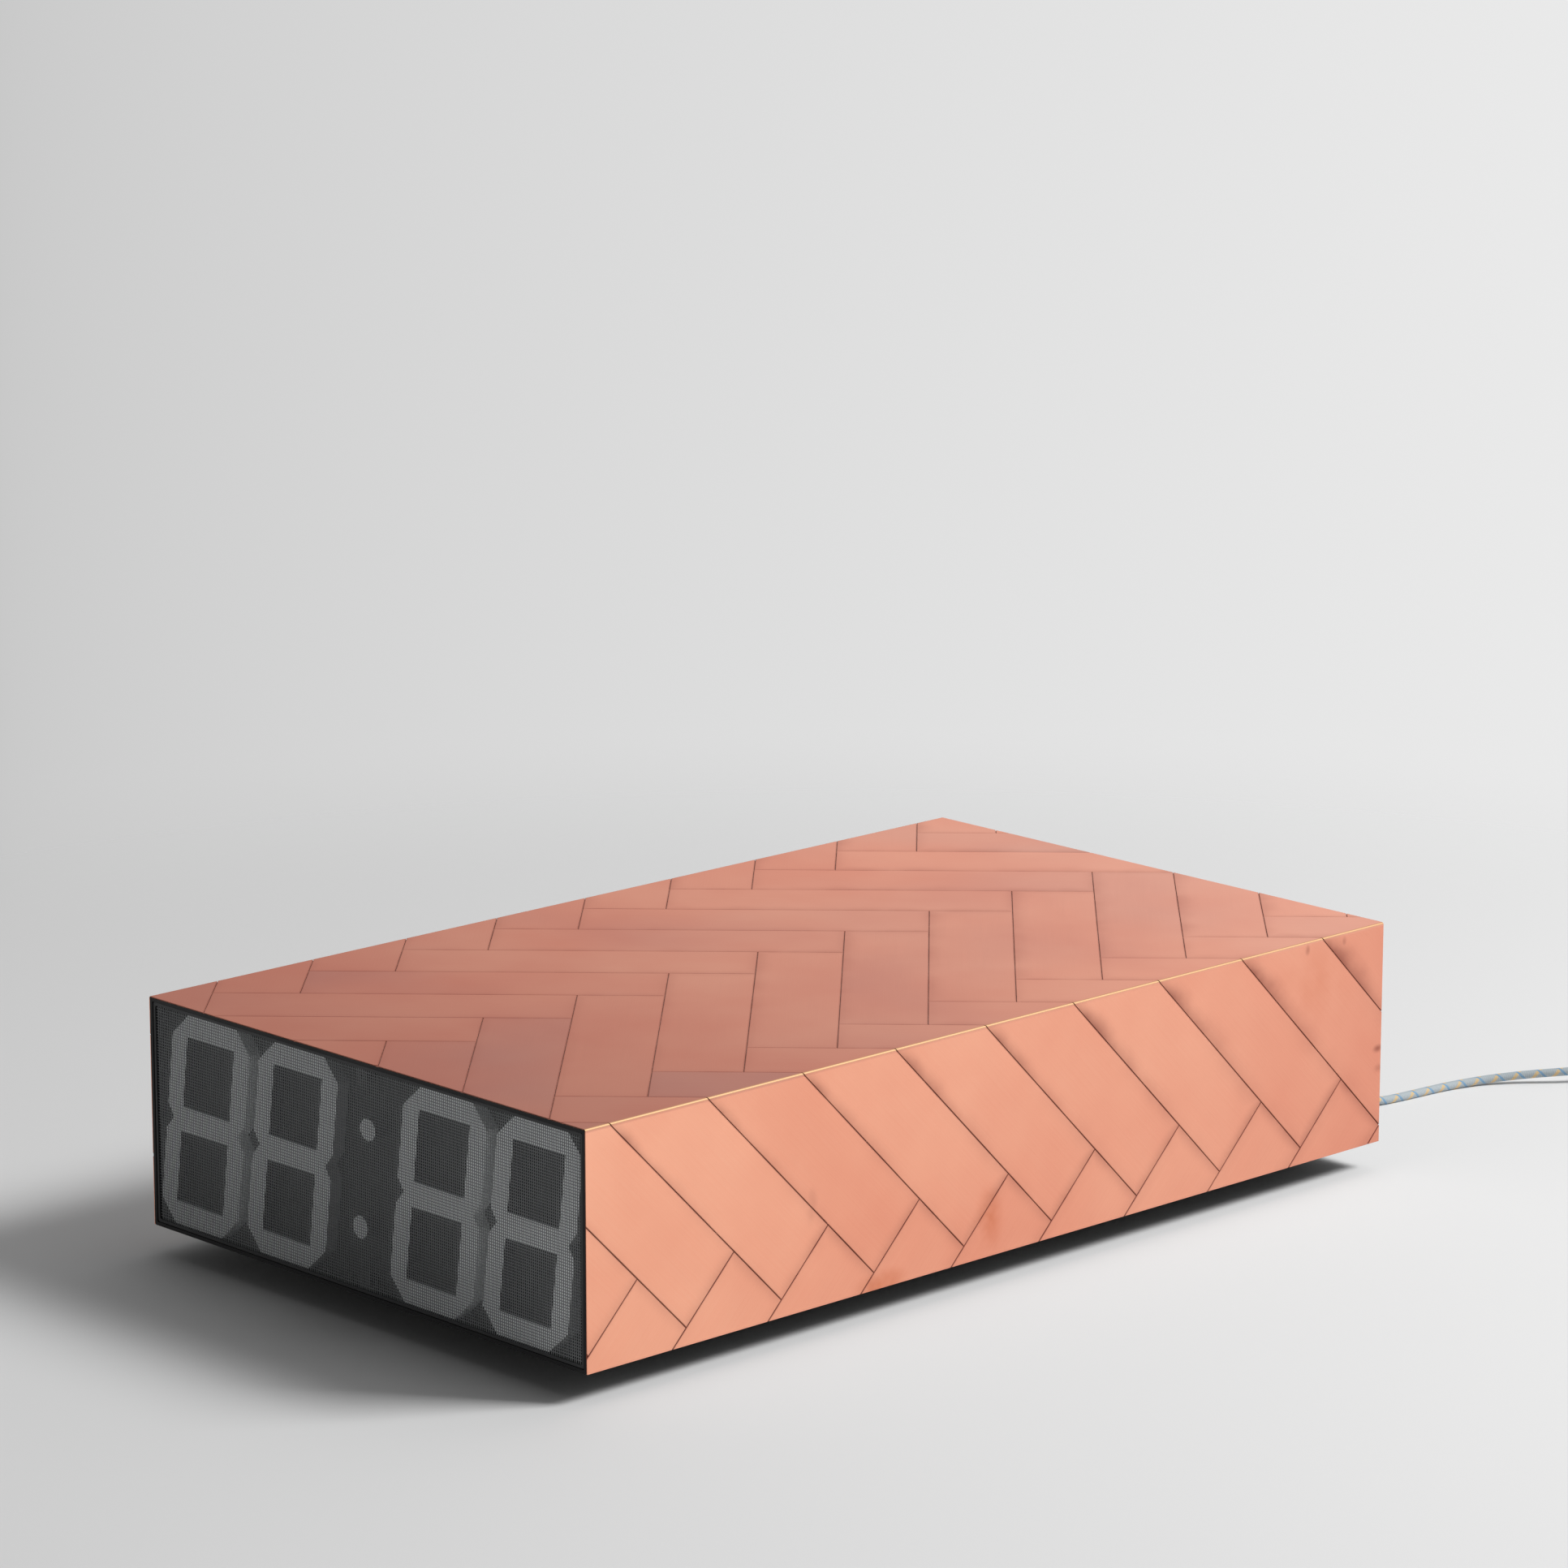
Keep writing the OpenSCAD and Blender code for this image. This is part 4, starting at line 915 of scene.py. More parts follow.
@dataclass(frozen=True)
class PressedFibre(Grained):
    """Felt or hook-and-loop strap: matted or woven fibres, matt with a soft sheen."""

    colour: str = "#232324"
    roughness: float = 0.9
    uneven: float = 0.0
    mottle: float = 0.3
    patch: float = 0.9
    patch_detail: float = 4.0
    grain: float = 0.9
    grain_detail: float = 4.0
    grain_strength: float = 0.7
    grain_depth: float = 0.3
    noise_roughness: float = 0.7
    sheen: float = 0.3


@dataclass(frozen=True)
class SolderMask(Finish):
    """Printed board under solder mask: glossy lacquer with the copper tracks faintly raised below it."""

    colour: str = "#0d0e0f"
    track: str = "#16181a"
    roughness: float = 0.5
    pitch: float = 6.0
    track_depth: float = 0.05
    track_strength: float = 0.3
    tilt: tuple[float, float, float] = (60.0, 0.0, 20.0)
    # Shares of the pitch, and how soft the tracks' edges are
    track_width: float = 0.04
    track_length: float = 1.7
    track_step: float = 0.35
    track_blur: float = 0.3

    def lay(self, tree: Tree, shader: Node) -> None:
        """Lay the tracks as a brick pattern under the lacquer.

        Args:
            tree: the material's node tree.
            shader: its shader.
        """
        coords = add_node(tree, "TexCoord")
        flat = add_node(tree, "Mapping", {
            "Vector": coords.outputs["Object"], "Rotation": [math.radians(angle) for angle in self.tilt]})
        tracks = add_node(tree, "TexBrick", {
            "Vector": flat, "Color1": linear(self.colour), "Color2": linear(self.colour),
            "Mortar": linear(self.track), "Scale": per_mm(self.pitch), "Mortar Size": self.track_width,
            "Mortar Smooth": self.track_blur, "Brick Width": self.track_length,
            "Row Height": self.track_step})
        bump = add_node(tree, "Bump", {
            "Height": tracks.outputs["Fac"], "Strength": self.track_strength,
            "Distance": self.track_depth * MM})
        set_inputs(tree, shader, {"Base Color": tracks, "Roughness": self.roughness, "Normal": bump})


@dataclass(frozen=True)
class StudioPaper(Finish):
    """Seamless background paper: matt and almost white, fading out into the studio far from the object."""

    colour: str = "#e8e8e8"
    roughness: float = 0.9
    shine: float = 0.1
    tooth: float = 1.5
    tooth_depth: float = 0.1
    tooth_strength: float = 0.05
    # Where the middle of the paper is and how far it reaches, in metres
    centre: tuple[float, float, float] = (0.0, 0.1, 0.0)
    solid_to: float = 0.75
    clear_from: float = 1.5

    def lay(self, tree: Tree, shader: Node) -> None:
        """Lay the paper's tooth and its fading edge.

        Args:
            tree: the material's node tree.
            shader: its shader.
        """
        coords = add_node(tree, "TexCoord")
        tooth = add_node(tree, "TexNoise", {
            "Vector": coords.outputs["Object"], "Scale": per_mm(self.tooth), "Detail": 2.0})
        bump = add_node(tree, "Bump", {
            "Height": tooth, "Strength": self.tooth_strength, "Distance": self.tooth_depth * MM})
        out = add_node(tree, "VectorMath", {
            0: coords.outputs["Object"], 1: self.centre}, operation="DISTANCE")
        alpha = add_node(tree, "MapRange", {
            "Value": out, "From Min": self.solid_to, "From Max": self.clear_from,
            "To Min": 1.0, "To Max": 0.0}, interpolation_type="SMOOTHSTEP")
        set_inputs(tree, shader, {
            "Base Color": linear(self.colour), "Roughness": self.roughness,
            "Specular IOR Level": self.shine, "Alpha": alpha, "Normal": bump})


COPPER = SatinCopper("satin_copper_sheet")
BLACK_COAT = PowderCoat("black_powder_coat")
GLUED_COAT = GluedSheet("glued_black_powder_coat")
GRILLE_PAINT = PowderCoat("grey_grille_paint", colour="#8b8d8e", roughness=0.45)
RIM_PAINT = PowderCoat("dark_rim_paint", colour="#3b3c3d", roughness=0.45)
OPAL = OpalFace("opal_diffuser_acrylic")
BLACK_PLASTIC = Moulded("black_moulded_nylon")
LED_PACKAGE = Moulded("white_led_package", colour="#e9e7df")
RIBBON_PVC = Moulded("grey_ribbon_pvc", colour="#a3a4a6", roughness=0.5)
WIRE_PVC = Moulded("red_wire_pvc", colour="#7a1f1c", roughness=0.4)
PLUG_PLASTIC = Moulded("black_plug_pvc", colour="#1d1d1e", roughness=0.42)
RUBBER = Moulded("black_relief_rubber", colour="#161616", roughness=0.6)
BLACK_MASK = SolderMask("black_solder_mask")
GREEN_MASK = SolderMask("green_solder_mask", colour="#1c5b3c", track="#2a7a50")
ZINC = PlatedSteel("bright_zinc_plate")
BLACK_ZINC = PlatedSteel("black_zinc_plate", colour="#1a1a1b", roughness=0.5)
NICKEL = PlatedSteel("nickel_plate", colour="#d5d2cb", roughness=0.22)
TURNED_STEEL = PlatedSteel("turned_stainless_steel", colour="#bfc1c3", roughness=0.28)
BRAID = TextileBraid("cotton_braid")
STRAP = PressedFibre("woven_hook_and_loop", colour="#2a2a2c", patch=0.7, grain=0.7)
FELT = PressedFibre("pressed_wool_felt")
WOOD = StainedWood("black_stained_beech")
PAPER = StudioPaper("seamless_paper")


def dress(piece: Piece, finish: Finish) -> None:
    """Give an object one finish in place of whatever it had."""
    piece.data.materials.clear()
    piece.data.materials.append(finish.material())


def hand_over(piece: Piece, finish: Finish, nodes: Sequence[str],
              body: str = CASE) -> None:
    """Dress a finished piece and set it on its body in place of CAD nodes.

    Args:
        piece: the finished object.
        finish: its material.
        nodes: CAD nodes that it stands for.
        body: CAD body that it moves with.
    """
    dress(piece, finish)
    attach(piece, body)
    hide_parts(*nodes)
    LOG.info("%s stands for %s on %s", piece.name, ", ".join(nodes), body)


def ease(node: str, name: str, finish: Finish, width: float, segments: int = 2,
         sharper_than: float = 35.0) -> Piece:
    """Carry one CAD node of the case over, round its edges and hand it over.

    Args:
        node: the CAD node.
        name: name of the new piece.
        finish: its material.
        width: of the rounding.
        segments: faces across the rounding.
        sharper_than: angle in degrees above which an edge is rounded.

    Returns:
        The finished piece.
    """
    piece = carry_over(node, name)
    soften(piece, width, segments, sharper_than)
    hand_over(piece, finish, (node,))
    return piece


# Sub-assemblies


@dataclass
class Studio:
    """Camera, light and paper floor of the photograph."""

    camera_place: tuple[float, float, float] = (2.9984, -2.8446, 1.2693)
    camera_turn: tuple[float, float, float] = (76.907, 0.0, 46.475)
    focal: float = 140.2
    sensor: float = 36.0
    key_toward: tuple[float, float, float] = (0.545, 0.475, 0.74)
    key_distance: float = 4.8
    key_size: float = 1.6
    key_power: float = 192.0
    # Strength of the fill light from low down and from above, in front of the clock and behind it
    fill_front: tuple[float, float] = (0.25, 0.04)
    fill_back: tuple[float, float] = (0.15, 0.56)
    # Sines of the angles between which it goes from low to above, and from front to back
    fill_rise: tuple[float, float] = (0.1, 0.5)
    fill_turn: float = 0.3
    white: str = "#ffffff"
    shade_left: float = 0.58
    shade_right: float = 0.82
    shade_curve: float = 0.7
    edge_sine: float = 0.127
    floor_size: float = 6.0
    floor_cuts: int = 7

    def build(self) -> None:
        """Set up camera, key light, surroundings and floor."""
        self.add_camera()
        self.add_key()
        self.add_surroundings()
        self.add_floor()
        bpy.context.scene.view_settings.view_transform = "Standard"

    def add_camera(self) -> None:
        """Stand the camera where the photograph was taken."""
        bpy.ops.object.select_all(action="DESELECT")
        angles = [math.radians(angle) for angle in self.camera_turn]
        bpy.ops.object.camera_add(location=self.camera_place, rotation=angles)
        camera = bpy.context.object
        camera.name = "photo_camera"
        camera.data.lens = self.focal
        camera.data.sensor_width = self.sensor
        bpy.context.scene.camera = camera

    def add_key(self) -> None:
        """Hang the large soft lamp behind the object's right side."""
        toward = Vector(self.key_toward).normalized()
        angles = (-toward).to_track_quat("-Z", "Y").to_euler()
        bpy.ops.object.light_add(type="AREA", location=toward * self.key_distance, rotation=angles)
        lamp = bpy.context.object
        lamp.name = "key_softbox"
        lamp.data.shape = "SQUARE"
        lamp.data.size = self.key_size
        lamp.data.energy = self.key_power

    def add_surroundings(self) -> None:
        """Fill the studio with even light, seen as a pale backdrop that darkens to the left."""
        world = bpy.data.worlds.new("studio")
        world.use_nodes = True
        bpy.context.scene.world = world
        tree = world.node_tree
        yaw = math.radians(self.camera_turn[2])
        right = (math.cos(yaw), math.sin(yaw), 0.0)
        coords = add_node(tree, "TexCoord")
        aside = add_node(tree, "VectorMath", {
            0: coords.outputs["Generated"], 1: right}, operation="DOT_PRODUCT")
        share = add_node(tree, "MapRange", {
            "Value": aside, "From Min": -self.edge_sine, "From Max": self.edge_sine})
        curve = add_node(tree, "Math", {0: share, 1: self.shade_curve}, operation="POWER")
        level = add_node(tree, "MapRange", {
            "Value": curve, "To Min": self.shade_left, "To Max": self.shade_right})
        toward = add_node(tree, "SeparateXYZ", {"Vector": coords.outputs["Generated"]})
        front, back = [add_node(tree, "MapRange", {
            "Value": toward.outputs["Z"], "From Min": self.fill_rise[0], "From Max": self.fill_rise[1],
            "To Min": low, "To Max": high}, interpolation_type="SMOOTHSTEP")
            for low, high in (self.fill_front, self.fill_back)]
        behind = add_node(tree, "MapRange", {
            "Value": toward.outputs["Y"], "From Min": -self.fill_turn, "From Max": self.fill_turn},
            interpolation_type="SMOOTHSTEP")
        fill = add_node(tree, "Mix", {
            "Factor": behind, "A": front, "B": back}, data_type="FLOAT")
        path = add_node(tree, "LightPath")
        seen = path.outputs["Is Camera Ray"]
        for kind in ("Is Glossy Ray", "Is Transmission Ray"):
            seen = add_node(tree, "Math", {0: seen, 1: path.outputs[kind]}, operation="MAXIMUM")
        strength = add_node(tree, "Mix", {
            "Factor": seen, "A": fill, "B": level}, data_type="FLOAT")
        set_inputs(tree, tree.nodes["Background"], {
            "Color": linear(self.white), "Strength": strength})

    def add_floor(self) -> None:
        """Lay the sheet of paper that the clock stands on."""
        floor = add_piece("paper_floor", bpy.ops.mesh.primitive_plane_add, size=self.floor_size)
        with editing(floor):
            bpy.ops.mesh.select_all(action="SELECT")
            bpy.ops.mesh.subdivide(number_cuts=self.floor_cuts)
        dress(floor, PAPER)


@dataclass
class PowerCord:
    """Textile mains lead: it falls to the floor, runs back and ends in a tied coil and a flat plug."""

    diameter: float = 6.2 * MM
    outlet: tuple[float, float, float] = (100 * MM, 404.5 * MM, 44 * MM)
    sides: int = 20
    route_cuts: int = 2
    # Sideways and back from the outlet in millimetres, and the share of the fall still to go
    fall: Sequence[tuple[float, float, float]] = (
        (0, 0, 1), (0.5, 13.5, 0.976), (2, 26.5, 0.878), (4, 39.5, 0.719), (6.5, 52.5, 0.535),
        (9, 65.5, 0.352), (12, 78.5, 0.181), (15, 91.5, 0.059), (18, 104.5, 0.007), (20, 117.5, 0))
    # Sideways and back from the outlet, and the height above a cord that lies on the floor
    lying: Sequence[tuple[float, float, float]] = (
        (21.5, 130.5, 0), (23, 145.5, 0), (24.5, 160.5, 0), (27, 175.5, 0.1), (31, 189.5, 0.5),
        (37, 203.5, 1.3), (46, 217.5, 2.5), (57, 231.5, 3.9), (68, 243.5, 5.1), (78, 255.5, 6.1),
        (87, 269.5, 6.9), (96, 284, 7.7))
    coil_centre: tuple[float, float] = (252 * MM, 692 * MM)
    coil_inner: float = 25.5 * MM
    coil_pitch: float = 6.8 * MM
    coil_layer: float = 6.9 * MM
    coil_low: float = 4.3 * MM
    coil_start: float = 150.0
    coil_turns: float = 6 + 1 / 6
    coil_rings: int = 24
    # Out from the coil and up, in millimetres
    tail: Sequence[tuple[float, float]] = ((6, 0.1), (12, 0.9), (18, 2))
    tail_flat: float = 1.5 * MM
    plug_lead: float = 25 * MM
    plug_thickness: float = 13.7 * MM
    plug_round: float = 1.6 * MM
    plug_segments: int = 3
    plug_sharp: float = 20.0
    strap_round: float = 0.5 * MM
    pin_round: float = 0.5 * MM
    relief_barrel: float = 6 * MM
    relief_barrel_length: float = 12.5 * MM
    relief_flange: tuple[float, float] = (10 * MM, 3 * MM)
    relief_length: float = 30 * MM
    relief_taper: tuple[float, float] = (6.5 * MM, 4.5 * MM)
    rib_step: float = 5 * MM
    rib_width: float = 2 * MM
    rib_height: float = 0.8 * MM
    rib_count: int = 4
    relief_round: float = 0.35 * MM

    def coil_at(self, turn: float) -> Vector:
        """Find the wound cord after some turns: in along the upper layer, out along the lower.

        Args:
            turn: how many turns.

        Returns:
            The place.
        """
        middle = self.coil_turns / 2
        radius = self.coil_inner + self.coil_pitch * abs(turn - middle)
        angle = math.radians(self.coil_start - 360 * turn)
        # It sinks from layer to layer over half a turn, by a smooth step
        drop = min(1.0, max(0.0, (turn - middle) * 2 + 0.5))
        height = self.coil_low + self.coil_layer * (1 - drop * drop * (3 - 2 * drop))
        return Vector((self.coil_centre[0] + radius * math.cos(angle),
                       self.coil_centre[1] + radius * math.sin(angle), height))

    def coil_way(self, turn: float) -> Vector:
        """Direction of the wound cord after a number of turns."""
        angle = math.radians(self.coil_start - 360 * turn)
        return Vector((math.sin(angle), -math.cos(angle), 0))

    def coil_end(self) -> Vector:
        """Where the cord leaves the coil."""
        return self.coil_at(self.coil_turns) + self.diameter * self.coil_way(self.coil_turns)

    def plug_start(self) -> Vector:
        """Find where the cord enters the plug's neck.

        Returns:
            The place.
        """
        out = self.coil_way(self.coil_turns)
        rise = Vector((0, 0, self.plug_thickness / 2 - self.coil_low))
        return self.coil_end() + self.plug_lead * out + rise

    def route(self) -> list[Vector]:
        """Lead the centreline from the outlet to the plug.

        Returns:
            Its points, in order.
        """
        rest = self.diameter / 2
        x, y, z = self.outlet
        points = [Vector((x + p[0] * MM, y + p[1] * MM, rest + p[2] * (z - rest))) for p in self.fall]
        points += [Vector((x + p[0] * MM, y + p[1] * MM, rest + p[2] * MM)) for p in self.lying]
        points.append(self.coil_at(0) - self.diameter * self.coil_way(0))
        rings = int(self.coil_turns * self.coil_rings)
        points += [self.coil_at(i / self.coil_rings) for i in range(rings + 1)]
        out = self.coil_way(self.coil_turns)
        leave = self.coil_end()
        points.append(leave)
        points += [leave + p[0] * MM * out + Vector((0, 0, p[1] * MM)) for p in self.tail]
        points += [self.plug_start() - self.tail_flat * out, self.plug_start()]
        return points

    def build(self) -> None:
        fittings = [
            self.add_relief(),
            ease("coil_tie", "hook_and_loop_tie", STRAP, self.strap_round),
            ease("plug_body", "two_pin_plug", PLUG_PLASTIC, self.plug_round,
                 self.plug_segments, self.plug_sharp),
            ease("plug_pins", "round_plug_pins", NICKEL, self.pin_round)]
        points = smooth_route(self.route(), self.route_cuts)
        cord = sweep("mains_cord", points, self.diameter / 2, self.sides)
        hand_over(cord, BRAID, ("power_cord", "cord_coil", "cord_tail"))

    def add_relief(self) -> Piece:
        """Turn the tapered strain relief with its ribs, set in the rear panel.

        Returns:
            The finished piece.
        """
        flange, flange_length = self.relief_flange
        wide, narrow = self.relief_taper
        root = self.outlet[1] - self.relief_length
        start = root + flange_length
        taper = self.relief_length - flange_length
        outline = [(self.relief_barrel, root - self.relief_barrel_length), (self.relief_barrel, root),
                   (flange, root), (flange, start), (wide, start)]
        for rib in range(1, self.rib_count + 1):
            middle = rib * self.rib_step
            proud = wide + (narrow - wide) * middle / taper + self.rib_height
            for along, inner in ((middle - self.rib_width / 2, True), (middle + self.rib_width / 2, False)):
                skin = wide + (narrow - wide) * along / taper
                steps = (skin, proud) if inner else (proud, skin)
                outline += [(step, start + along) for step in steps]
        outline.append((narrow, self.outlet[1]))
        relief = turn("ribbed_strain_relief", outline)
        relief.location = (self.outlet[0], 0, self.outlet[2])
        soften(relief, self.relief_round)
        hand_over(relief, RUBBER, ("strain_relief",))
        return relief


def smooth_route(points: Sequence[Vector], cuts: int) -> list[Vector]:
    """Put points between those of a route, on the smooth curve through them.

    Args:
        points: the route.
        cuts: parts that each stretch is cut into.

    Returns:
        The closer route.
    """
    closer = []
    for i in range(len(points) - 1):
        before = points[max(0, i - 1)]
        after = points[min(len(points) - 1, i + 2)]
        start, end = points[i], points[i + 1]
        for step in range(cuts):
            t = step / cuts
            closer.append(0.5 * (2 * start + (end - before) * t
                                 + (2 * before - 5 * start + 4 * end - after) * t * t
                                 + (3 * start - before - 3 * end + after) * t * t * t))
    closer.append(points[-1])
    return closer


def sweep(name: str, points: Sequence[Vector], radius: float, sides: int) -> Piece:
    """Sweep a round tube along a route, with its map in turns around and metres along.

    Args:
        name: name of the new object.
        points: the centreline.
        radius: of the tube.
        sides: faces around it.

    Returns:
        The closed tube.
    """
    across = Vector((0, 0, 1))
    rings, run = [], [0.0]
    for i, point in enumerate(points):
        ahead = (points[min(i + 1, len(points) - 1)] - points[max(i - 1, 0)]).normalized()
        across = (across - across.dot(ahead) * ahead).normalized()
        beside = ahead.cross(across)
        turns = [2 * math.pi * k / sides for k in range(sides)]
        rings.append([point + radius * (math.cos(a) * across + math.sin(a) * beside) for a in turns])
        if i:
            run.append(run[-1] + (point - points[i - 1]).length)
    verts = [v for ring in rings for v in ring]
    faces, maps = [], []
    for i in range(len(points) - 1):
        for k in range(sides):
            near, far = i * sides, (i + 1) * sides
            step = (k + 1) % sides
            faces.append((near + k, near + step, far + step, far + k))
            maps += [(k / sides, run[i]), ((k + 1) / sides, run[i]),
                     ((k + 1) / sides, run[i + 1]), (k / sides, run[i + 1])]
    last = (len(points) - 1) * sides
    faces += [tuple(range(sides - 1, -1, -1)), tuple(range(last, last + sides))]
    maps += [(0.5, run[0])] * sides + [(0.5, run[-1])] * sides
    mesh = bpy.data.meshes.new(name)
    mesh.from_pydata(verts, [], faces)
    chart = mesh.uv_layers.new(name="UVMap")
    for loop, place in zip(chart.data, maps):
        loop.uv = place
    tube = bpy.data.objects.new(name, mesh)
    bpy.context.scene.collection.objects.link(tube)
    settle(tube, SMOOTH_ANGLE)
    return tube


class Column(Enum):
    """The six columns of strips, by their place in the pattern."""

    LEFT_SKIRT = -3
    LEFT_FOLD = -2
    TOP_LEFT = -1
    TOP_RIGHT = 0
    RIGHT_FOLD = 1
    RIGHT_SKIRT = 2


@dataclass
class Cladding:
    """Herringbone of copper strips, laid flat over the top and folded down both long sides."""

    strip_length: float = 250 * MM
    strip_width: float = 60 * MM
    seam: float = 0.5 * MM
    sheet: float = 0.6 * MM
    fold_radius: float = 1.8 * MM
    fold_take: float = 1.193 * MM
    pattern_x: float = -2.4 * MM
    pattern_y: float = 43.5 * MM
    least_clipping: float = 4 * MM * MM
    least_edge: float = 1.5 * MM
    edge_round: float = 0.25 * MM
    edge_angle: float = 60.0
    fold_steps: int = 6
    fold_margin: float = 0.1 * MM
    # Places closer than this are the same place
    touch: float = 0.01 * MM
    tone_seed: int = 7
    low: Vector = field(default_factory=lambda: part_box("cladding_left_skirt")[0])
    high: Vector = field(default_factory=lambda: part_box("cladding_right_fold")[1])

    def build(self) -> None:
        """Build each column from its own strips."""
        draw = random.Random(self.tone_seed)
        for column in Column:
            name = column.name.lower()
            piece = self.lay_column(column, "copper_" + name)
            self.clip(piece)
            self.tint(piece, draw)
            self.fold(piece)
            apply_modifier(piece, "SOLIDIFY", thickness=self.sheet, offset=-1.0)
            soften(piece, self.edge_round, sharper_than=self.edge_angle, use_clamp_overlap=False)
            hand_over(piece, COPPER, ("cladding_" + name,))

    def lay_column(self, column: Column, name: str) -> Piece:
        """Lay the whole strips of one column side by side on the flat pattern.

        Args:
            column: which column.
            name: name of the piece.

        Returns:
            The strips in one mesh, at the height of the top, not yet cut or folded.
        """
        across = self.strip_width / math.sqrt(2)
        along = self.strip_length / math.sqrt(2)
        row = self.strip_width * math.sqrt(2)
        odd = column.value % 2
        run, end = ((1, 1), (1, -1)) if odd else ((1, -1), (1, 1))
        depth = self.high.y - self.low.y
        base_u = self.pattern_x - across / 2 + column.value * along
        first = -math.ceil((along + across + self.pattern_y) / row)
        last = math.ceil((depth + along + across) / row)
        strips = []
        for k in range(first, last + 1):
            base_v = self.pattern_y + k * row - odd * along
            u = base_u + (run[0] * along + end[0] * across) / 2
            v = base_v + (run[1] * along + end[1] * across) / 2
            strip = add_piece(
                name, bpy.ops.mesh.primitive_plane_add, size=1,
                location=(u, self.low.y + v, self.high.z),
                rotation=(0, 0, math.radians(45 if odd else -45)))
            strip.scale = (self.strip_length - self.seam, self.strip_width - self.seam, 1)
            strips.append(strip)
        return join(name, strips)

    def clip(self, piece: Piece) -> None:
        """Cut the strips off at the body's front, rear and lower edges, and drop the smallest clippings.

        Args:
            piece: the strips of a column, flat.
        """
        reach = self.high.x + self.high.z - self.low.z - 2 * self.fold_take
        cuts = (((0, self.low.y, 0), (0, -1, 0)), ((0, self.high.y, 0), (0, 1, 0)),
                ((-reach, 0, 0), (-1, 0, 0)), ((reach, 0, 0), (1, 0, 0)))
        with editing(piece):
            for place, outward in cuts:
                bpy.ops.mesh.select_all(action="SELECT")
                bpy.ops.mesh.bisect(plane_co=place, plane_no=outward, clear_outer=True)
            mesh = bmesh.from_edit_mesh(piece.data)
            for face in mesh.faces:
                face.select_set(face.calc_area() < self.least_clipping)
            bmesh.update_edit_mesh(piece.data)
            bpy.ops.mesh.delete(type="FACE")
            bpy.ops.mesh.select_all(action="SELECT")
            bpy.ops.mesh.dissolve_degenerate(threshold=self.least_edge)

    def tint(self, piece: Piece, draw: random.Random) -> None:
        """Give each strip a tone of its own, kept on its faces.

        Args:
            piece: the strips of a column, flat.
            draw: gives the random tones.
        """
        tones = piece.data.attributes.new("tone", "FLOAT", "FACE")
        for value in tones.data:
            value.value = draw.random()

    def fold(self, piece: Piece) -> None:
        """Fold the strips down over both long edges, round a small radius.

        Args:
            piece: the strips of a column, flat.
        """
        near = self.high.x - self.fold_radius - self.fold_margin
        far = self.high.x - 2 * self.fold_take + self.fold_radius + self.fold_margin
        with editing(piece):
            for side in (-1, 1):
                corner = side * self.high.x
                for place in (near, far):
                    bpy.ops.mesh.select_all(action="SELECT")
                    bpy.ops.mesh.bisect(plane_co=(side * place, 0, 0), plane_no=(1, 0, 0))
                if not pick(piece, Kind.VERT, lambda p, n: side * p.x > far - self.touch):
                    continue
                bpy.ops.transform.translate(value=(side * 2 * self.fold_take, 0, 0))
                bpy.ops.mesh.select_all(action="SELECT")
                bpy.ops.mesh.bisect(plane_co=(corner, 0, 0), plane_no=(1, 0, 0))
                pick(piece, Kind.VERT, lambda p, n: side * (p.x - corner) > self.touch)
                bpy.ops.transform.rotate(
                    value=-side * math.pi / 2, orient_axis="Y", center_override=(corner, 0, self.high.z))
                if pick(piece, Kind.EDGE, lambda p, d: max(
                        abs(p.x - corner), abs(p.z - self.high.z), abs(d.x), abs(d.z)) < self.touch):
                    bpy.ops.mesh.bevel(offset=self.fold_radius, segments=self.fold_steps, affect="EDGES")


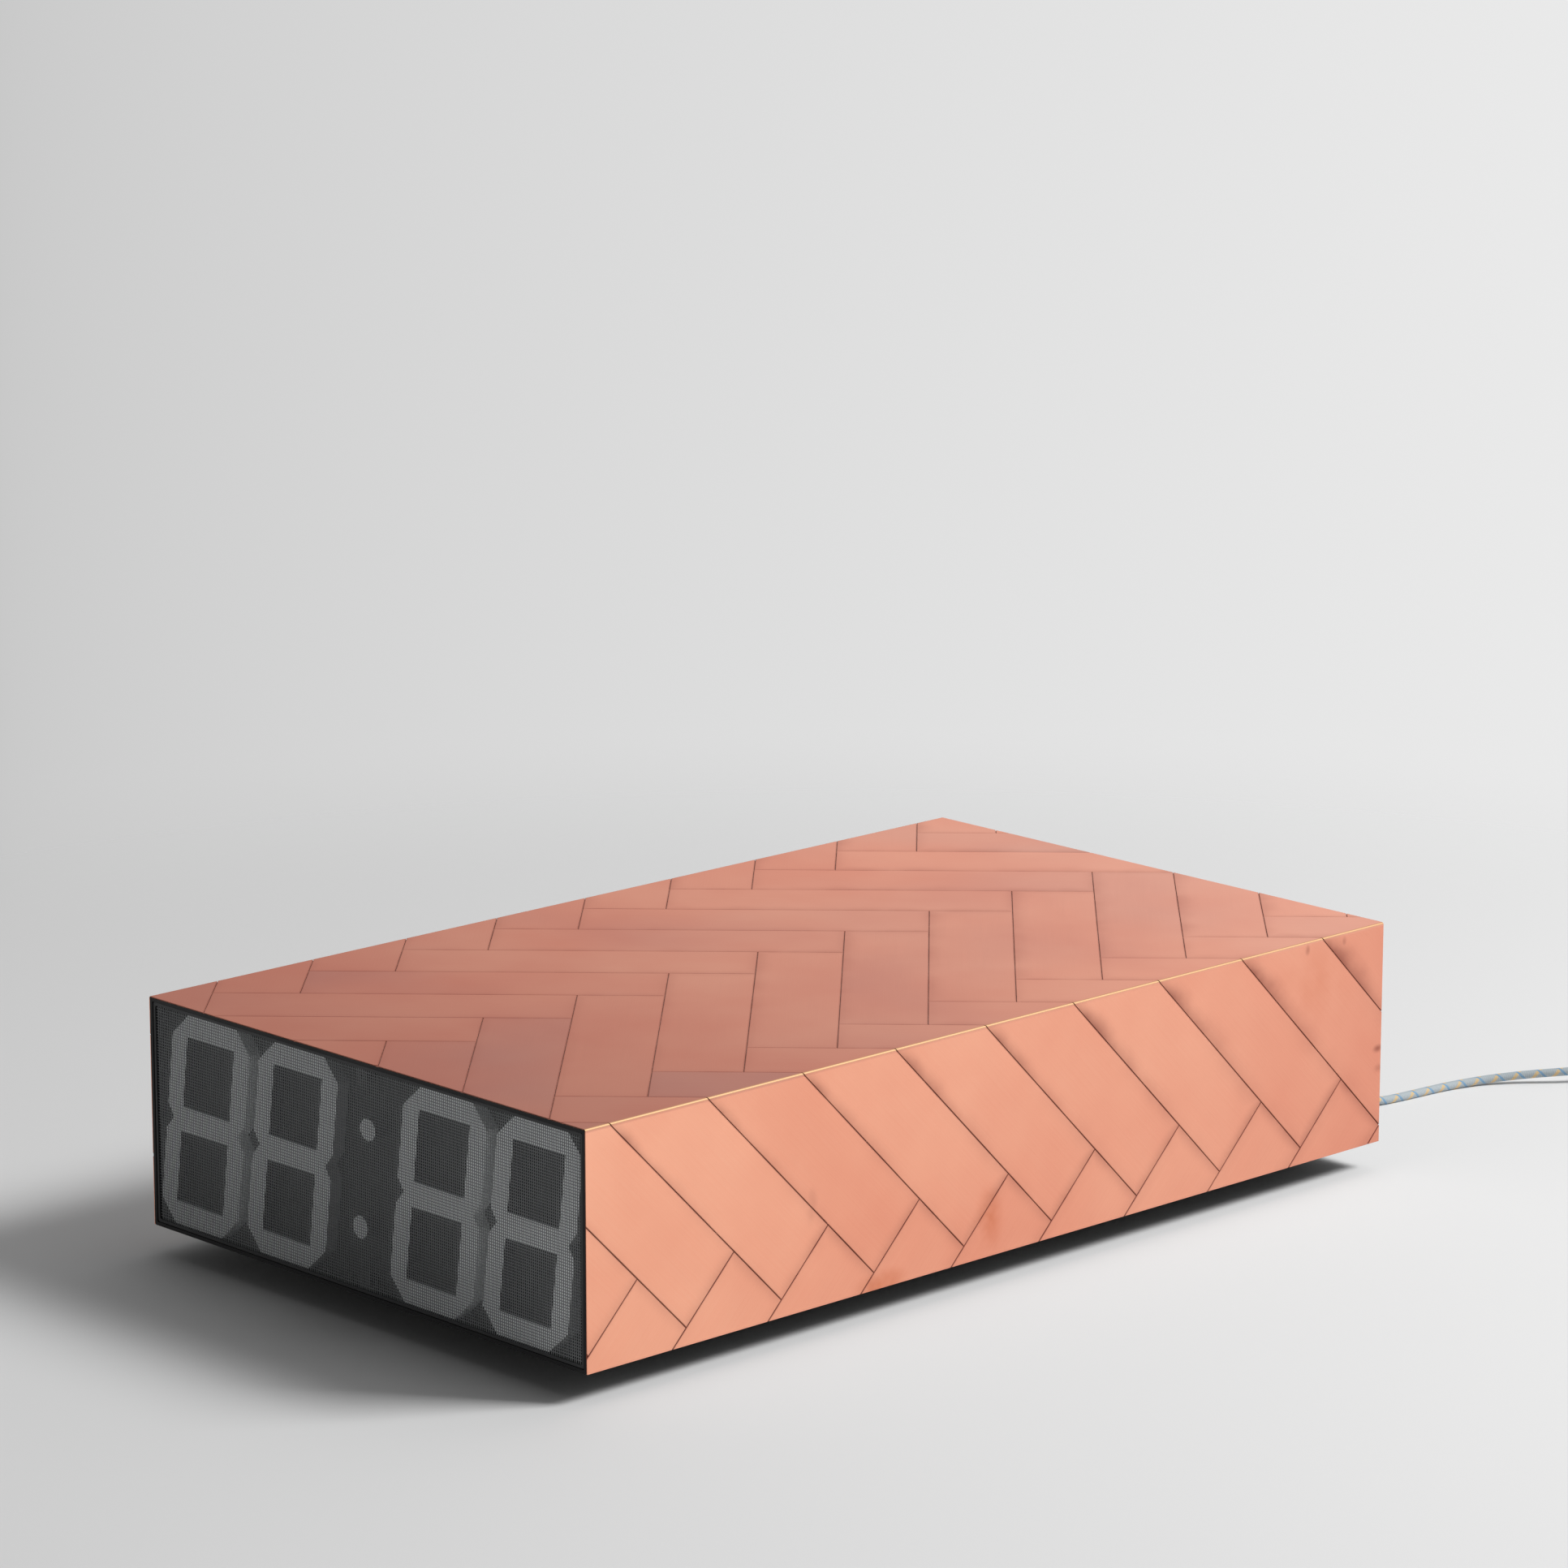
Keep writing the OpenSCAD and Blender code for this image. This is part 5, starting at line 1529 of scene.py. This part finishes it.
@dataclass
class RearFittings:
    """Rear panel with its screws, and the two set buttons in their bushes."""

    panel_round: float = 0.6 * MM
    head_radius: float = 4 * MM
    head_height: float = 2.6 * MM
    shaft_radius: float = 2 * MM
    shaft_length: float = 7.5 * MM
    socket_radius: float = 1.5 * MM
    socket_depth: float = 1.6 * MM
    screw_sides: int = 36
    screw_smooth: float = 30.0
    # Radius and height of the domed head, as shares of its own
    dome: Sequence[tuple[float, float]] = (
        (1, 0), (1, 0.3), (0.95, 0.58), (0.84, 0.82), (0.68, 0.96), (0.52, 1))
    button_z: float = 101.1 * MM
    # Where each button stands, its CAD node and the body that it is pressed in with
    buttons: Sequence[tuple[float, str, str]] = (
        (-130 * MM, "hour_button", "hour_key"), (-100 * MM, "minute_button", "minute_key"))
    bush_face: float = 376.5 * MM
    bush_lip: float = 3 * MM
    bush_length: float = 16.5 * MM
    bush_radius: float = 6 * MM
    flange_radius: float = 8 * MM
    lip_bore: float = 4.05 * MM
    wide_bore: float = 5.1 * MM
    # Radius and place along Y of the button's steps and of its dished end, in millimetres
    button_steps: Sequence[tuple[float, float]] = (
        (2.5, 358), (2.5, 371.5), (4.8, 371.5), (4.8, 373.5), (4, 373.5), (4, 379.5),
        (3.3, 379.5), (2.3, 379.2), (1.2, 379.0), (0.4, 378.95))
    turned_round: float = 0.3 * MM

    def build(self) -> None:
        """Build the panel, its screws, the bushes and the buttons."""
        ease("rear_panel", "rear_cover_sheet", BLACK_COAT, self.panel_round)
        self.add_screws()
        self.add_bushes()
        for x, node, body in self.buttons:
            self.add_button(x, node, body)

    def add_screws(self) -> None:
        """Model one button-head screw with a hexagon socket and copy it to the four lugs."""
        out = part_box("rear_panel")[1].y
        low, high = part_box("rear_screws")
        inset = self.head_radius
        steps = [(self.shaft_radius, out - self.shaft_length), (self.shaft_radius, out)]
        steps += [(r * self.head_radius, out + h * self.head_height) for r, h in self.dome]
        screw = turn("socket_screw", steps, sides=self.screw_sides)
        key = add_piece(
            "hexagon_key", bpy.ops.mesh.primitive_cylinder_add, vertices=6, radius=self.socket_radius,
            depth=2 * self.socket_depth, location=(0, out + self.head_height, 0),
            rotation=(math.pi / 2, 0, 0))
        apply_modifier(screw, "BOOLEAN", object=key, operation="DIFFERENCE", solver="EXACT")
        bpy.data.objects.remove(key)
        screws = repeat("rear_socket_screws", screw, [
            (x, 0, z) for x in (low.x + inset, high.x - inset) for z in (low.z + inset, high.z - inset)])
        settle(screws, self.screw_smooth)
        hand_over(screws, BLACK_COAT, ("rear_screws",))

    def add_bushes(self) -> None:
        """Turn one flanged bush and copy it to both buttons."""
        face = self.bush_face
        root = face - self.bush_length
        lip = face - self.bush_lip
        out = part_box("rear_panel")[1].y
        bush = turn("bush", (
            (self.bush_radius, root), (self.bush_radius, out), (self.flange_radius, out),
            (self.flange_radius, face), (self.lip_bore, face), (self.lip_bore, lip), (self.wide_bore, lip),
            (self.wide_bore, root), (self.bush_radius, root)), bored=True)
        places = [(x, 0, self.button_z) for x, node, body in self.buttons]
        bushes = repeat("set_button_bushes", bush, places)
        soften(bushes, self.turned_round)
        hand_over(bushes, BLACK_PLASTIC, ("button_bushes",))

    def add_button(self, x: float, node: str, body: str) -> None:
        """Turn one set button with its shoulder, tail and dished end.

        Args:
            x: where it stands.
            node: the CAD node that it stands for.
            body: the CAD body that it is pressed in with.
        """
        button = turn(node.replace("_", "_set_"), [(r * MM, y * MM) for r, y in self.button_steps])
        button.location = (x, 0, self.button_z)
        soften(button, self.turned_round)
        hand_over(button, TURNED_STEEL, (node,), body)


@dataclass
class Plinth:
    """Recessed base: four black rails on felt glides."""

    edge_round: float = 1.2 * MM
    edge_segments: int = 3
    felt_round: float = 0.8 * MM

    def build(self) -> None:
        """Ease the rails' edges and the glides' rims."""
        for side in ("front", "rear", "left", "right"):
            ease("plinth_" + side, "base_rail_" + side, WOOD, self.edge_round,
                 self.edge_segments)
        ease("floor_glides", "felt_glides", FELT, self.felt_round)


@dataclass
class Display:
    """Four seven-segment digits and two colon dots of opal plastic, each with one unbroken pale face."""

    edge_round: float = 0.4 * MM
    slit: float = 0.7 * MM
    lean: float = 0.133
    stroke: float = 17 * MM
    # Least share of its normal that a face of the front or of a side wall turns that way
    front_share: float = 0.7
    side_share: float = 0.1
    # Part of a stroke's width, from the digit's outermost line in, that counts as its outer wall
    wall_share: float = 0.75
    # How pale the left-hand and right-hand walls of each piece are: those in the narrow gap between two
    # digits throw the light to each other
    walls: Sequence[tuple[str, float, float]] = (
        ("digit_1", 0.0, 1.0), ("digit_2", 1.0, 0.25), ("digit_3", 0.0, 1.0), ("digit_4", 1.0, 0.25),
        ("colon_dots", 0.0, 0.0))

    def build(self) -> None:
        """Close the slits between the segments, soften the edges and mark the pale faces."""
        for node, left, right in self.walls:
            piece = carry_over(node, "opal_" + node)
            self.close_slits(piece)
            soften(piece, self.edge_round)
            self.mark_pale(piece, node, left, right)
            hand_over(piece, OPAL, (node,))

    def close_slits(self, piece: Piece) -> None:
        """Draw neighbouring segments together and take out the walls between them.

        Args:
            piece: a digit, or the dots.
        """
        with editing(piece):
            bpy.ops.mesh.select_all(action="SELECT")
            bpy.ops.mesh.remove_doubles(threshold=self.slit)
            bpy.ops.mesh.select_mode(type="FACE")
            bpy.ops.mesh.select_all(action="DESELECT")
            bpy.ops.mesh.select_interior_faces()
            bpy.ops.mesh.delete(type="FACE")

    def mark_pale(self, piece: Piece, node: str, left: float, right: float) -> None:
        """Keep on each face how pale it is.

        Args:
            piece: the finished digit or dots.
            node: its CAD node.
            left: how pale its left-hand wall is.
            right: how pale its right-hand wall is.
        """
        low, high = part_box(node)
        middle = (low.z + high.z) / 2
        upright = [v.co.x - self.lean * (v.co.z - middle) for v in piece.data.vertices]
        depth = self.wall_share * self.stroke
        pale = piece.data.attributes.new("pale", "FLOAT", "FACE")
        for face, value in zip(piece.data.polygons, pale.data):
            place = face.center.x - self.lean * (face.center.z - middle)
            if face.normal.y < -self.front_share:
                value.value = 1.0
            elif face.normal.x > self.side_share and place > max(upright) - depth:
                value.value = right
            elif face.normal.x < -self.side_share and place < min(upright) + depth:
                value.value = left


# The CAD nodes that keep their shape, by finish
CAD_FINISHES: dict[Finish, tuple[str, ...]] = {
    GLUED_COAT: ("sleeve",),
    BLACK_COAT: ("left_display_post", "right_display_post", "rear_lugs"),
    RIM_PAINT: ("grille_rim",),
    GRILLE_PAINT: ("grille_mesh",),
    BLACK_MASK: ("led_board",),
    GREEN_MASK: ("controller_board",),
    LED_PACKAGE: ("segment_leds",),
    BLACK_ZINC: ("grille_pillars", "grille_screws", "board_screws"),
    ZINC: ("controller_standoffs", "controller_screws", "power_supply", "supply_screws", "button_nuts",
           "plinth_screws"),
    NICKEL: ("backup_cell",),
    BLACK_PLASTIC: ("controller_parts", "cell_holder", "ribbon_sockets", "supply_terminals",
                    "button_switches", "relief_nut"),
    RIBBON_PVC: ("display_ribbon", "mains_lead"),
    WIRE_PVC: ("supply_wires", "button_wires"),
}


def dress_cad_nodes() -> None:
    """Give every CAD node that still shows its finish."""
    for finish, nodes in CAD_FINISHES.items():
        for node in nodes:
            dress(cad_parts[node], finish)
            LOG.info("%s keeps its CAD shape, in %s", node, finish.name)
    # Light passes the drawn mesh freely, as it does the finer real one
    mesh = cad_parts["grille_mesh"]
    mesh.visible_shadow = False
    mesh.visible_diffuse = False


def main() -> None:
    """Build the studio, then the clock from its cord to its skin."""
    logging.basicConfig(level=logging.INFO, format="%(name)s: %(message)s")
    Studio().build()
    PowerCord().build()
    RearFittings().build()
    Plinth().build()
    Display().build()
    Cladding().build()
    dress_cad_nodes()


if __name__ == "__main__":
    main()
